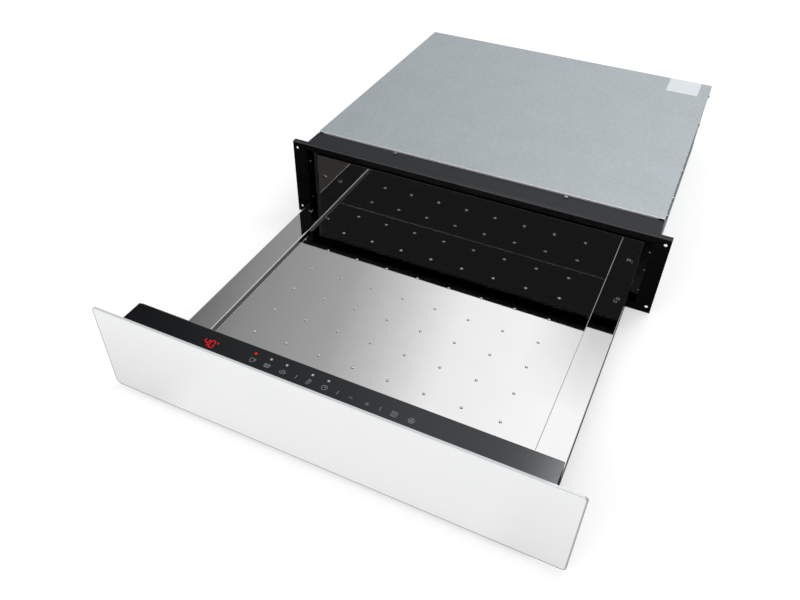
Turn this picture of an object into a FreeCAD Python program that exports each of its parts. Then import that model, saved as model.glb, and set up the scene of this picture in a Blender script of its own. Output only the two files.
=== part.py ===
"""Built-in warming drawer, standing open, in millimetres.

Lengths are worked out in a frame whose Y = 0 is the front face of the flange, with +Y to the rear,
X = 0 the middle and Z = 0 the underside. Each piece is then moved so that the origin is the centre
of the whole part's footprint. The drawer is modelled fully open, and closes along +Y.
"""
import FreeCAD, Part

import math
import os

V = FreeCAD.Vector
ORIGIN = V(0, 0, 0)
ALONG_X = V(1, 0, 0)
ALONG_Y = V(0, 1, 0)
ALONG_Z = V(0, 0, 1)

# One overrun for every cut, and the small clearances that several pieces share
overrun = 1.0
seat_gap = 0.3
screw_hole_gap = 0.1
running_gap = 0.05

# Sheet thicknesses
casing_sheet = 0.8
liner_sheet = 1.0
flange_sheet = 1.5
return_sheet = 1.2
drawer_sheet = 0.8
support_sheet = 1.2

# Widths, from the middle outwards
floor_width = 450.0
ledge_width = 38.0
drawer_side_gap = 11.0
liner_air_gap = 1.2
flange_overhang = 18.5
control_side_margin = 2.5

ledge_inner_x = floor_width / 2
drawer_half = ledge_inner_x + ledge_width
opening_half = drawer_half + drawer_side_gap
liner_inner_x = opening_half + return_sheet
liner_outer_x = liner_inner_x + liner_sheet
panel_inner_x = liner_outer_x + liner_air_gap
panel_outer_x = panel_inner_x + casing_sheet
casing_half = panel_outer_x + casing_sheet
flange_half = casing_half + flange_overhang
control_half = drawer_half + control_side_margin

# Heights, from the underside upwards
sill_height = 12.0
drawer_sill_gap = 2.0
rail_lift = 7.9
rail_height = 12.7
floor_drop = 5.4
wall_height = 75.0
control_height = 84.0
control_head_gap = 2.6
head_bar = 10.0
glass_raise = 2.0
glass_lift = 3.5
cover_air_gap = 4.0

skirt_z = sill_height + drawer_sill_gap
rail_z = skirt_z + rail_lift
ledge_under_z = rail_z + rail_height
ledge_z = ledge_under_z + drawer_sheet
floor_z = ledge_z - floor_drop
floor_under_z = floor_z - drawer_sheet
wall_top_z = ledge_z + wall_height
control_top_z = ledge_z + control_height
opening_top_z = control_top_z + control_head_gap
flange_top_z = opening_top_z + head_bar
glass_top_z = flange_top_z + glass_raise
ceiling_z = opening_top_z + return_sheet
ceiling_top_z = ceiling_z + liner_sheet
cover_under_z = ceiling_top_z + cover_air_gap
cover_top_z = cover_under_z + casing_sheet

# Depths: the drawer's parts at the open pose, and the casing behind the flange. The runners reach
# past both ends of the well, and the drawer travels by their length, less what the stops take.
well_depth = 415.0
rail_overreach = 25.0
rail_stop = 1.0
rail_length = well_depth + rail_overreach
drawer_travel = rail_length - rail_stop
closed_gap = 5.0
glass_thickness = 3.0
carrier_thickness = 2.4
control_depth = 37.8
rear_foot_depth = 13.0
rear_clearance = 7.2
bay_depth = 54.4

glass_rear_y = -(closed_gap + drawer_travel)
glass_front_y = glass_rear_y - glass_thickness
carrier_rear_y = glass_rear_y + carrier_thickness
control_rear_y = carrier_rear_y + control_depth
well_front_y = control_rear_y + drawer_sheet
rear_wall_y = well_front_y + well_depth
rear_wall_back_y = rear_wall_y + drawer_sheet
drawer_rear_y = rear_wall_back_y + rear_foot_depth
baffle_y = drawer_rear_y + drawer_travel + rear_clearance
baffle_rear_y = baffle_y + liner_sheet
rear_panel_y = baffle_rear_y + bay_depth
rear_panel_back_y = rear_panel_y + casing_sheet
casing_rear_y = rear_panel_back_y + casing_sheet

# Glass front
glass_corner_radius = 5.0
glass_edge_round = 0.6
carrier_side_inset = 14.0
carrier_edge_inset = 9.0

# Front flange and its fixing holes
flange_lip_depth = 8.0
flange_return_depth = 22.0
flange_edge_round = 0.7
fixing_hole_radius = 2.5
fixing_side_inset = 7.0
fixing_edge_inset = 10.5
flange_screw_y = 11.0
flange_screw_right_shares = (0.155, 0.49, 0.775)
flange_screw_left_shares = (0.14, 0.765)

# Collar, groove and top cover
collar_depth = 51.5
groove_width = 1.5
groove_seat = 16.0
collar_drop = 2.0
collar_lap = 16.0
corner_relief = 8.5
cover_lip = 14.0
base_lip = 12.0
cover_edge_round = 0.6
collar_edge_round = 0.7
collar_screw_share = 0.495
collar_screw_setback = 4.0
cover_screw_shares = (0.040, 0.146, 0.322, 0.683, 0.935)
cover_screw_drop = 7.0

collar_top_z = cover_top_z - collar_drop
groove_y = collar_depth - groove_width

# Label on the cover
label_width = 55.5
label_length = 58.0
label_thickness = 0.15
label_side_inset = 18.5

# Pan-head screws
screw_head_radius = 3.0
screw_head_height = 1.7
screw_head_round = 0.6
shank_radius = 1.5
shank_length = 2.6
carrier_shank_length = 2.0
recess_length = 3.4
recess_width = 0.8
recess_depth = 0.9

# Drawer well
rim_hem = 6.0
wall_toe = 1.2
floor_lip = 9.0
floor_rear_gap = 0.3
nib_pitch = 50.0
nib_rows = 8
nib_columns = 8
nib_radius = 2.2
nib_height = 0.8
nib_rear_inset = 23.5
ledge_round = 1.2
ledge_screw_setback = 49.7
rail_screw_offset = 5.0
wall_screw_rise_share = 0.49
gusset_width = 22.0
gusset_height = 52.0
gusset_sheet = 1.2
brace_width = 40.0
brace_flange = 9.0
brace_sheet = 1.0
brace_setback = 24.0
brace_count = 3
striker_width = 30.0
striker_sheet = 2.0
striker_overhang = 5.8

# Control box
control_wall = 2.0
control_panel_thickness = 3.0
board_thickness = 1.6
board_drop = 12.0
board_shelf = 4.0
board_shelf_height = 3.0
board_left_share = 0.66
board_right_share = 0.46
board_edge_gap = 1.0
display_width = 40.0
display_depth = 18.0
display_centre_share = 0.556
indicator_size = 3.0
indicator_shares = (0.342, 0.264, 0.187, 0.063, -0.013)
indicator_setback = 10.2
window_gap = 0.5

# Runners, lying flat under the ledges
rail_side_gap = 1.7
rail_wall = 1.2
rail_front_y = 10.0
rail_outer_rise = 8.6
rail_lip_width = 0.8
rail_lip_thickness = 0.8
rail_middle_base = 2.2
rail_middle_rise = 9.4
rail_inner_drop = 8.2
rail_plate_half = 13.0
outer_ball_radius = 1.75
inner_ball_radius = 1.5
outer_ball_rise = 5.2
inner_ball_rise = 7.0
track_depth = 0.35
ball_gap = 0.2
cage_sheet = 0.6
cage_floor = 0.5
cage_floor_gap = 0.25
cage_end_gap = 10.0
cage_ball_gap = 0.1
balls_per_row = 8

# Latch
latch_width = 24.0
latch_height = 27.0
latch_length = 42.0
latch_start_gap = 1.5
plunger_radius = 4.0
plunger_tip_round = 1.0
plunger_stroke = 8.0
plunger_inside = 24.0
latch_opening_gap = 1.0
spring_wire = 0.5
spring_turns = 5
spring_side_gap = 0.4
spring_length = plunger_stroke + 2 * spring_wire * (spring_turns + 1)

# Fan, motor and heating element
fan_axis_share = 0.6
fan_radius = 32.0
fan_width = 18.0
fan_front_gap = 5.0
fan_plate = 1.2
fan_ring_width = 5.0
fan_blades = 20
fan_blade_inner = 18.0
fan_blade_thickness = 0.8
fan_blade_sweep = 28.0
hub_radius = 6.0
shaft_radius = 2.0
motor_gap = 3.0
motor_plate = 1.2
motor_plate_width = 102.0
motor_plate_height = 72.0
motor_foot = 10.0
stator_width = 46.0
stator_depth = 13.0
rotor_radius = 11.0
air_gap = 0.4
coil_width = 22.0
coil_height = 14.0
coil_wall = 6.0
coil_gap = 0.5
end_cap_thickness = 2.0
end_cap_width = 20.0
end_cap_post = 2.5
shaft_end = 2.0
intake_radius = 28.0
intake_rings = 3
intake_slots = 12
intake_slot_width = 3.6
intake_slot_length = 6.4
outlet_slots = 9
outlet_slot_width = 6.0
outlet_slot_height = 44.0
outlet_pitch = 12.0
outlet_inset = 36.0
heater_radius = 3.2
heater_half_width = 88.0
heater_rise = 39.0
heater_bend = 16.0
heater_tail = 26.0
heater_setback = 11.0
heater_clip_width = 8.0
heater_clip_share = 0.62
cutout_radius = 11.0
cutout_height = 8.0
cutout_x_share = 0.45
cutout_tab = 2.0

# Power board, terminals and cable gland
power_board_width = 118.0
power_board_height = 76.0
power_board_side_gap = 16.0
power_board_lift = 22.0
standoff_radius = 3.0
standoff_length = 8.0
standoff_inset = 6.0
relay_size = (19.0, 15.5, 15.5)
transformer_size = (34.0, 22.0, 28.0)
capacitor_radius = 6.0
capacitor_height = 16.0
terminal_pitch = 10.0
terminal_depth = 14.0
terminal_height = 18.0
terminal_count = 3
vent_columns = 12
vent_rows = 2
vent_width = 3.0
vent_length = 22.0
vent_pitch = 9.0
vent_row_gap = 10.0
gland_bore = 4.0
gland_radius = 9.0
gland_flange_radius = 13.0
gland_flange_thickness = 3.0
gland_nose = 12.0
gland_nut_thickness = 5.0
gland_side_inset = 46.0
gland_rise = 30.0

# Placement of the origin: the middle of the footprint, from the glass to the gland's nose
rear_end_y = casing_rear_y + gland_flange_thickness + gland_nose
origin_y = (glass_front_y + rear_end_y) / 2


def block(x0, x1, y0, y1, z0, z1):
    """A box between two corners."""
    return Part.makeBox(x1 - x0, y1 - y0, z1 - z0, V(x0, y0, z0))


def rod(radius, start, direction, length):
    """A round bar from a start point along a direction."""
    return Part.makeCylinder(radius, length, start, direction)


def fused(shapes):
    """One solid from pieces that touch or overlap."""
    return shapes[0].multiFuse(shapes[1:]).removeSplitter()


def cut(shape, tools):
    """A shape with several tools taken away."""
    return shape.cut(Part.makeCompound(tools))


def mirrored(shape):
    """The same piece on the other side of the middle."""
    return shape.mirror(ORIGIN, ALONG_X)


def both_sides(shape):
    """A piece and its mirror image."""
    return [shape, mirrored(shape)]


def edges_along(shape, direction, test):
    """The straight edges that run along a direction and whose middle passes a test."""
    chosen = []
    for edge in shape.Edges:
        if len(edge.Vertexes) != 2 or edge.Curve.TypeId != "Part::GeomLine":
            continue
        run = edge.Vertexes[1].Point - edge.Vertexes[0].Point
        if run.normalize().cross(direction).Length < running_gap and test(edge.CenterOfMass):
            chosen.append(edge)
    return chosen


def rounded(shape, radius, direction, test):
    """A shape with chosen straight edges rounded."""
    return shape.makeFillet(radius, edges_along(shape, direction, test))


def screw(seat, outwards, reach=shank_length):
    """A pan-head screw whose head sits on a point and faces outwards."""
    head = rod(screw_head_radius, ORIGIN, ALONG_Z, screw_head_height)
    rim = [edge for edge in head.Edges if edge.Closed and edge.CenterOfMass.z > screw_head_height / 2]
    head = head.makeFillet(screw_head_round, rim)
    shank = rod(shank_radius, V(0, 0, -reach), ALONG_Z, reach)
    half = recess_length / 2
    slot = block(-half, half, -recess_width / 2, recess_width / 2,
                 screw_head_height - recess_depth, screw_head_height + overrun)
    across = slot.copy()
    across.rotate(ORIGIN, ALONG_Z, 90)
    body = cut(fused([head, shank]), [slot, across])
    body.Placement = FreeCAD.Placement(seat, FreeCAD.Rotation(ALONG_Z, outwards))
    return body


def screw_hole(seat, outwards):
    """The clearance hole for such a screw's shank, long enough for the sheets it joins."""
    depth = shank_length + screw_hole_gap
    hole = rod(shank_radius + screw_hole_gap, V(0, 0, -depth), ALONG_Z, depth + overrun)
    hole.Placement = FreeCAD.Placement(seat, FreeCAD.Rotation(ALONG_Z, outwards))
    return hole


def slot_xz(x, z, width, height, y0, y1):
    """An upright slot with round ends, cut through along Y."""
    radius = width / 2
    low, high = z - height / 2 + radius, z + height / 2 - radius
    return fused([block(x - radius, x + radius, y0, y1, low, high),
                  rod(radius, V(x, y0, low), ALONG_Y, y1 - y0),
                  rod(radius, V(x, y0, high), ALONG_Y, y1 - y0)])


def cover_screw_seats():
    """Where the screws sit on the right side of the cover."""
    cover_length = casing_rear_y - collar_depth
    return [V(casing_half, collar_depth + share * cover_length, cover_top_z - cover_screw_drop)
            for share in cover_screw_shares]


def collar_screw_seats():
    """Where the two screws sit on the collar, just in front of the groove."""
    x = casing_half * collar_screw_share
    y = groove_y - collar_screw_setback
    return [V(x, y, collar_top_z), V(-x, y, collar_top_z)]


def flange_screw_seats(side, shares):
    """Where the screws sit on one of the flange's inner returns."""
    height = opening_top_z - sill_height
    return [V(side * opening_half, flange_screw_y, sill_height + share * height) for share in shares]


def ledge_screw_seat():
    """Where the screw sits on the right ledge, over the runner's drawer member."""
    x = (ledge_inner_x + drawer_half) / 2 + rail_screw_offset
    return V(x, rear_wall_y - ledge_screw_setback, ledge_z)


def wall_screw_seat():
    """Where the screw sits on the right of the rear wall."""
    return V(ledge_screw_seat().x, rear_wall_y, ledge_z + wall_screw_rise_share * wall_height)


def foot_screw_seat():
    """Where the screw sits on the right gusset's foot."""
    top = ledge_z + seat_gap + drawer_sheet + gusset_sheet
    return V(ledge_screw_seat().x, rear_wall_back_y + rear_foot_depth / 2 + gusset_sheet, top)


def carrier_screw_seats():
    """Where the screws sit on the right ledge's front flange."""
    x = (ledge_inner_x + drawer_half) / 2
    reach = ledge_width / 4
    z = (skirt_z + ledge_under_z) / 2
    y = carrier_rear_y + drawer_sheet
    return [V(x - reach, y, z), V(x + reach, y, z)]


def base_pan():
    """Bottom of the casing, with lips turned up at the sides and the rear."""
    sheet = block(-casing_half, casing_half, flange_sheet, casing_rear_y, 0, casing_sheet)
    side = block(panel_outer_x, casing_half, collar_depth, casing_rear_y, 0, base_lip)
    rear = block(-casing_half, casing_half, rear_panel_back_y, casing_rear_y, 0, base_lip)
    return fused([sheet, rear] + both_sides(side))


def side_panel_right():
    """Right side of the casing, lapped inside the collar."""
    panel = block(panel_inner_x, panel_outer_x, collar_depth - collar_lap, rear_panel_back_y,
                  casing_sheet, cover_under_z)
    front_corner = block(panel_inner_x - overrun, panel_outer_x + overrun,
                         collar_depth - collar_lap - overrun, groove_y + groove_seat,
                         collar_top_z - 2 * casing_sheet, cover_under_z + overrun)
    holes = [screw_hole(seat, ALONG_X) for seat in cover_screw_seats()]
    return cut(panel, [front_corner] + holes)


def gland_centre():
    """The cable gland's axis on the rear panel."""
    return V(panel_inner_x - gland_side_inset, rear_panel_y, gland_rise)


def rear_panel():
    """Rear of the casing, with its vents and the hole for the gland."""
    panel = block(-panel_inner_x, panel_inner_x, rear_panel_y, rear_panel_back_y,
                  casing_sheet, cover_under_z)
    cuts = []
    top_row = cover_top_z - cover_lip - vent_length / 2 - vent_row_gap / 2
    for row in range(vent_rows):
        z = top_row - row * (vent_length + vent_row_gap)
        for column in range(vent_columns):
            x = (column - (vent_columns - 1) / 2) * vent_pitch
            cuts.append(slot_xz(x, z, vent_width, vent_length, rear_panel_y - overrun,
                                rear_panel_back_y + overrun))
    centre = gland_centre()
    hole_start = V(centre.x, rear_panel_y - overrun, centre.z)
    cuts.append(rod(gland_radius + screw_hole_gap, hole_start, ALONG_Y, casing_sheet + 2 * overrun))
    return cut(panel, cuts)


def top_cover():
    """Zinc-plated cover with its edges turned down on all four sides."""
    sheet = block(-casing_half, casing_half, collar_depth, casing_rear_y, cover_under_z, cover_top_z)
    lip_z = cover_top_z - cover_lip
    side = block(panel_outer_x, casing_half, collar_depth, casing_rear_y, lip_z, cover_top_z)
    rear = block(-casing_half, casing_half, rear_panel_back_y, casing_rear_y, lip_z, cover_top_z)
    front_z = collar_top_z - casing_sheet + running_gap
    front = block(-casing_half, casing_half, collar_depth, collar_depth + casing_sheet,
                  front_z, cover_top_z)
    shell = fused([sheet, rear, front] + both_sides(side))
    shell = rounded(shell, cover_edge_round, ALONG_X,
                    lambda p: p.z > cover_top_z - running_gap and p.y < collar_depth + running_gap)
    shell = rounded(shell, cover_edge_round, ALONG_Y,
                    lambda p: p.z > cover_top_z - running_gap)
    relief = block(casing_half - corner_relief, casing_half + overrun, collar_depth - overrun,
                   collar_depth + casing_sheet + running_gap, lip_z - overrun, cover_under_z)
    holes = [screw_hole(seat, ALONG_X) for seat in cover_screw_seats()]
    right = [relief] + holes
    return cut(shell, right + [mirrored(tool) for tool in right])


def front_collar():
    """Black collar between the flange and the cover, stepped down to a groove with a rounded edge."""
    side = block(panel_outer_x, casing_half, flange_sheet, collar_depth, casing_sheet, collar_top_z)
    top = block(-casing_half, casing_half, flange_sheet, groove_y, collar_top_z - casing_sheet,
                collar_top_z)
    step_z = collar_top_z - casing_sheet
    step = block(-panel_outer_x, panel_outer_x, groove_y - casing_sheet, groove_y + groove_seat,
                 step_z - casing_sheet, step_z)
    side_end = block(panel_outer_x - overrun, casing_half + overrun, groove_y, collar_depth + overrun,
                     step_z, collar_top_z + overrun)
    arch = fused([top, step] + both_sides(side))
    arch = cut(arch, both_sides(side_end))
    arch = rounded(arch, collar_edge_round, ALONG_X,
                   lambda p: p.z > collar_top_z - running_gap and p.y > groove_y - running_gap)
    holes = [screw_hole(seat, ALONG_Z) for seat in collar_screw_seats()]
    return cut(arch, holes)


def cover_screws():
    """The cover's side screws and the collar's two screws."""
    right = [screw(seat, ALONG_X) for seat in cover_screw_seats()]
    left = [screw(V(-seat.x, seat.y, seat.z), -ALONG_X) for seat in cover_screw_seats()]
    top = [screw(seat, ALONG_Z) for seat in collar_screw_seats()]
    return Part.makeCompound(right + left + top)


def fixing_hole_places():
    """Centres of the four fixing holes in the flange, as X and Z."""
    x = flange_half - fixing_side_inset
    return [(side * x, z) for side in (1, -1)
            for z in (fixing_edge_inset, flange_top_z - fixing_edge_inset)]


def front_flange():
    """Flange that bears on the kitchen carcass, with lips outside and returns into the opening."""
    plate = block(-flange_half, flange_half, 0, flange_sheet, 0, flange_top_z)
    side_lip = block(flange_half - flange_sheet, flange_half, 0, flange_lip_depth, 0, flange_top_z)
    top_lip = block(-flange_half, flange_half, 0, flange_lip_depth,
                    flange_top_z - flange_sheet, flange_top_z)
    sleeve = block(-liner_inner_x, liner_inner_x, 0, flange_return_depth,
                   sill_height - return_sheet, opening_top_z + return_sheet)
    body = fused([plate, top_lip, sleeve] + both_sides(side_lip))
    body = rounded(body, flange_edge_round, ALONG_Z,
                   lambda p: abs(p.x) > flange_half - running_gap and p.y < running_gap)
    body = rounded(body, flange_edge_round, ALONG_X,
                   lambda p: p.z > flange_top_z - running_gap and p.y < running_gap)
    mouth = block(-opening_half, opening_half, -overrun, flange_return_depth + overrun,
                  sill_height, opening_top_z)
    holes = [rod(fixing_hole_radius, V(x, -overrun, z), ALONG_Y, flange_sheet + 2 * overrun)
             for x, z in fixing_hole_places()]
    right = [screw_hole(seat, -ALONG_X) for seat in flange_screw_seats(1, flange_screw_right_shares)]
    left = [screw_hole(seat, ALONG_X) for seat in flange_screw_seats(-1, flange_screw_left_shares)]
    return cut(body, [mouth] + holes + right + left)


def flange_screws():
    """Screws through the inner returns into the liner: three on the right and two on the left."""
    right = [screw(seat, -ALONG_X) for seat in flange_screw_seats(1, flange_screw_right_shares)]
    left = [screw(seat, ALONG_X) for seat in flange_screw_seats(-1, flange_screw_left_shares)]
    return Part.makeCompound(right + left)


def liner_wall():
    """The right inner wall of the cavity, without its screw holes."""
    return block(liner_inner_x, liner_outer_x, flange_sheet, baffle_y, casing_sheet, ceiling_z)


def liner_right():
    """Right inner wall of the cavity."""
    seats = flange_screw_seats(1, flange_screw_right_shares)
    return cut(liner_wall(), [screw_hole(seat, -ALONG_X) for seat in seats])


def liner_left():
    """Left inner wall of the cavity."""
    seats = flange_screw_seats(-1, flange_screw_left_shares)
    return cut(mirrored(liner_wall()), [screw_hole(seat, ALONG_X) for seat in seats])


def liner_ceiling():
    """Ceiling of the cavity, lying on the two liner walls."""
    return block(-liner_outer_x, liner_outer_x, flange_sheet, baffle_y, ceiling_z, ceiling_top_z)


def fan_axis_z():
    """Height of the fan's axis."""
    return fan_axis_share * ceiling_z


def air_baffle():
    """Rear wall of the cavity: intake slots in front of the fan, outlet slots at both sides."""
    plate = block(-liner_outer_x, liner_outer_x, baffle_y, baffle_rear_y, casing_sheet, ceiling_top_z)
    y0, y1 = baffle_y - overrun, baffle_rear_y + overrun
    cuts = []
    z = fan_axis_z()
    for ring in range(1, intake_rings):
        distance = intake_radius * (ring + 1) / intake_rings - intake_slot_length / 2
        for index in range(intake_slots):
            slot = slot_xz(0, z + distance, intake_slot_width, intake_slot_length, y0, y1)
            slot.rotate(V(0, 0, z), ALONG_Y, 360 * index / intake_slots)
            cuts.append(slot)
    for index in range(outlet_slots):
        x = liner_inner_x - outlet_inset - index * outlet_pitch
        cuts += both_sides(slot_xz(x, z, outlet_slot_width, outlet_slot_height, y0, y1))
    gate = latch_width / 2 + latch_opening_gap
    cuts.append(block(-gate, gate, y0, y1, 0, casing_sheet + latch_height + latch_opening_gap))
    return cut(plate, cuts)


def runner_support_right():
    """Z-shaped rail under the right runner, standing on the base pan."""
    centre = (ledge_inner_x + drawer_half) / 2
    half = rail_half_width()
    y0, y1 = flange_return_depth + seat_gap, rail_front_y + rail_length
    top = block(centre - half, centre + half, y0, y1, rail_z - support_sheet, rail_z)
    web = block(centre - half, centre - half + support_sheet, y0, y1, casing_sheet, rail_z)
    foot = block(centre - half, centre + half, y0, y1, casing_sheet, casing_sheet + support_sheet)
    return fused([top, web, foot])


def rail_half_width():
    """Half of the runner's width."""
    return ledge_width / 2 - drawer_sheet - rail_side_gap


def outer_ball_offset():
    """Sideways distance of the outer ball rows from the runner's middle."""
    return rail_half_width() - rail_wall + track_depth - outer_ball_radius - ball_gap


def middle_outer_face():
    """Outer face of the middle member's walls."""
    return outer_ball_offset() - outer_ball_radius - ball_gap + track_depth


def inner_ball_offset():
    """Sideways distance of the inner ball rows from the runner's middle."""
    return middle_outer_face() - rail_wall + track_depth - inner_ball_radius - ball_gap


def drawer_member_face():
    """Outer face of the drawer member's walls."""
    return inner_ball_offset() - inner_ball_radius - ball_gap + track_depth


def tracks(offset, rise, radius, y0, y1):
    """The two ball grooves of one row pair, in the runner's own section."""
    length = y1 - y0 + 2 * overrun
    return [rod(radius + ball_gap, V(side * offset, y0 - overrun, rise), ALONG_Y, length)
            for side in (1, -1)]


def to_right_runner(shape):
    """Moves a piece drawn about the runner's middle to the right runner."""
    shape.translate(V((ledge_inner_x + drawer_half) / 2, 0, rail_z))
    return shape


def rail_cabinet_right():
    """Outer runner member, a channel screwed to its support."""
    half = rail_half_width()
    y0, y1 = rail_front_y, rail_front_y + rail_length
    base = block(-half, half, y0, y1, 0, rail_wall)
    pieces = [base]
    for side in (1, -1):
        wall = sorted((side * half, side * (half - rail_wall)))
        lip = sorted((side * half, side * (half - rail_wall - rail_lip_width)))
        pieces.append(block(wall[0], wall[1], y0, y1, 0, rail_outer_rise))
        pieces.append(block(lip[0], lip[1], y0, y1, rail_outer_rise - rail_lip_thickness, rail_outer_rise))
    grooves = tracks(outer_ball_offset(), outer_ball_rise, outer_ball_radius, y0, y1)
    return to_right_runner(cut(fused(pieces), grooves))


def rail_middle_right():
    """Middle runner member at the open pose, half the travel forward."""
    half = middle_outer_face()
    y0 = rail_front_y - drawer_travel / 2
    y1 = y0 + rail_length
    pieces = [block(-half, half, y0, y1, rail_middle_base, rail_middle_base + rail_wall)]
    for side in (1, -1):
        wall = sorted((side * half, side * (half - rail_wall)))
        pieces.append(block(wall[0], wall[1], y0, y1, rail_middle_base, rail_middle_rise))
    grooves = tracks(outer_ball_offset(), outer_ball_rise, outer_ball_radius, y0, y1)
    grooves += tracks(inner_ball_offset(), inner_ball_rise, inner_ball_radius, y0, y1)
    return to_right_runner(cut(fused(pieces), grooves))


def rail_drawer_right():
    """Drawer runner member at the open pose, its plate under the ledge."""
    half = drawer_member_face()
    y0 = rail_front_y - drawer_travel
    y1 = y0 + rail_length
    plate_z = rail_height - rail_wall
    pieces = [block(-rail_plate_half, rail_plate_half, y0, y1, plate_z, rail_height)]
    for side in (1, -1):
        wall = sorted((side * half, side * (half - rail_wall)))
        pieces.append(block(wall[0], wall[1], y0, y1, rail_height - rail_inner_drop, rail_height))
    grooves = tracks(inner_ball_offset(), inner_ball_rise, inner_ball_radius, y0, y1)
    member = to_right_runner(cut(fused(pieces), grooves))
    return cut(member, [screw_hole(ledge_screw_seat(), ALONG_Z)])


def cage_length():
    """Length of a ball cage: what the open runner's members still share, less a gap at each end."""
    return rail_length - drawer_travel / 2 - 2 * cage_end_gap


def outer_cage_y():
    """Front end of the outer cages at the open pose."""
    return rail_front_y + cage_end_gap


def inner_cage_y():
    """Front end of the inner cages at the open pose."""
    return rail_front_y - drawer_travel / 2 + cage_end_gap


def ball_places(offset, rise, front_y):
    """Ball centres of one cage, in the runner's own section."""
    step = cage_length() / balls_per_row
    return [V(side * offset, front_y + (index + 1 / 2) * step, rise)
            for side in (1, -1) for index in range(balls_per_row)]


def ball_cage(offset, rise, radius, floor, front_y):
    """A U-shaped strip with a hole for each ball."""
    y1 = front_y + cage_length()
    half = offset + cage_sheet / 2
    top = rise + radius + cage_floor
    pieces = [block(-half, half, front_y, y1, floor, floor + cage_floor)]
    for side in (1, -1):
        wall = sorted((side * half, side * (half - cage_sheet)))
        pieces.append(block(wall[0], wall[1], front_y, y1, floor, top))
    reach = radius + cage_ball_gap
    holes = [rod(reach, V(place.x - reach, place.y, place.z), ALONG_X, 2 * reach)
             for place in ball_places(offset, rise, front_y)]
    return to_right_runner(cut(fused(pieces), holes))


def cage_outer_right():
    """Cage between the cabinet member and the middle member."""
    floor = rail_wall + cage_floor_gap
    return ball_cage(outer_ball_offset(), outer_ball_rise, outer_ball_radius, floor, outer_cage_y())


def cage_inner_right():
    """Cage between the middle member and the drawer member."""
    floor = rail_middle_base + rail_wall + cage_floor_gap
    return ball_cage(inner_ball_offset(), inner_ball_rise, inner_ball_radius, floor, inner_cage_y())


def balls(offset, rise, radius, front_y):
    """The balls of one cage."""
    spheres = [Part.makeSphere(radius, place) for place in ball_places(offset, rise, front_y)]
    return to_right_runner(Part.makeCompound(spheres))


def balls_outer_right():
    """Balls of the right outer cage."""
    return balls(outer_ball_offset(), outer_ball_rise, outer_ball_radius, outer_cage_y())


def balls_inner_right():
    """Balls of the right inner cage."""
    return balls(inner_ball_offset(), inner_ball_rise, inner_ball_radius, inner_cage_y())


def front_glass():
    """White glass front with rounded corners and a softened edge."""
    pane = block(-flange_half, flange_half, glass_front_y, glass_rear_y, glass_lift, glass_top_z)
    pane = rounded(pane, glass_corner_radius, ALONG_Y, lambda p: True)
    face_y = glass_front_y + running_gap
    rim = [edge for edge in pane.Edges
           if edge.BoundBox.YLength < running_gap and edge.CenterOfMass.y < face_y]
    return pane.makeFillet(glass_edge_round, rim)


def front_carrier():
    """Steel plate bonded behind the glass, which carries the front on the ledges."""
    half = flange_half - carrier_side_inset
    plate = block(-half, half, glass_rear_y, carrier_rear_y,
                  glass_lift + carrier_edge_inset, glass_top_z - carrier_edge_inset)
    right = [screw_hole(seat, ALONG_Y) for seat in carrier_screw_seats()]
    pockets = [mirrored(tool) for tool in right]
    return cut(plate, right + pockets)


def control_box():
    """Open-topped box behind the front, with shelves for its board."""
    z0 = ledge_z + seat_gap
    z1 = control_top_z - control_panel_thickness
    outer = block(-control_half, control_half, carrier_rear_y, control_rear_y, z0, z1)
    inner = block(-control_half + control_wall, control_half - control_wall,
                  carrier_rear_y + control_wall, control_rear_y - control_wall,
                  z0 + control_wall, z1 + overrun)
    shell = outer.cut(inner)
    shelf_top = z1 - board_drop
    left, right = -control_half * board_left_share, control_half * board_right_share
    front = carrier_rear_y + control_wall
    rear = control_rear_y - control_wall
    shelves = [block(left, right, front - control_wall / 2, front + board_shelf,
                     shelf_top - board_shelf_height, shelf_top),
               block(left, right, rear - board_shelf, rear + control_wall / 2,
                     shelf_top - board_shelf_height, shelf_top)]
    return fused([shell] + shelves)


def control_panel():
    """Black glass strip that closes the control box."""
    strip = block(-control_half, control_half, carrier_rear_y, control_rear_y,
                  control_top_z - control_panel_thickness, control_top_z)
    return rounded(strip, glass_edge_round, ALONG_X,
                   lambda p: p.z > control_top_z - running_gap and p.y > control_rear_y - running_gap)


def control_board():
    """Circuit board on the control box's shelves."""
    z = control_top_z - control_panel_thickness - board_drop
    return block(-control_half * board_left_share + board_edge_gap,
                 control_half * board_right_share - board_edge_gap,
                 carrier_rear_y + control_wall + board_edge_gap,
                 control_rear_y - control_wall - board_edge_gap, z, z + board_thickness)


def display_module():
    """Two-digit display block and the indicator lights, standing on the board."""
    z0 = control_top_z - control_panel_thickness - board_drop + board_thickness
    z1 = control_top_z - control_panel_thickness - window_gap
    middle_y = (carrier_rear_y + control_rear_y) / 2
    x = -control_half * display_centre_share
    parts = [block(x - display_width / 2, x + display_width / 2,
                   middle_y - display_depth / 2, middle_y + display_depth / 2, z0, z1)]
    y = control_rear_y - indicator_setback
    for share in indicator_shares:
        light_x = -control_half * share
        parts.append(block(light_x - indicator_size / 2, light_x + indicator_size / 2,
                           y - indicator_size / 2, y + indicator_size / 2, z0, z1))
    return Part.makeCompound(parts)


def well_wall(y0, y1, top_z):
    """An upright sheet across the well, stepped down between the ledges."""
    half = drawer_half - seat_gap
    upper = block(-half, half, y0, y1, ledge_z + seat_gap, top_z)
    inner = ledge_inner_x - seat_gap
    lower = block(-inner, inner, y0, y1, floor_z + seat_gap, ledge_z + seat_gap)
    return [upper, lower]


def front_wall():
    """Polished sheet between the well and the control box."""
    return fused(well_wall(control_rear_y, well_front_y, control_top_z - seat_gap))


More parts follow.
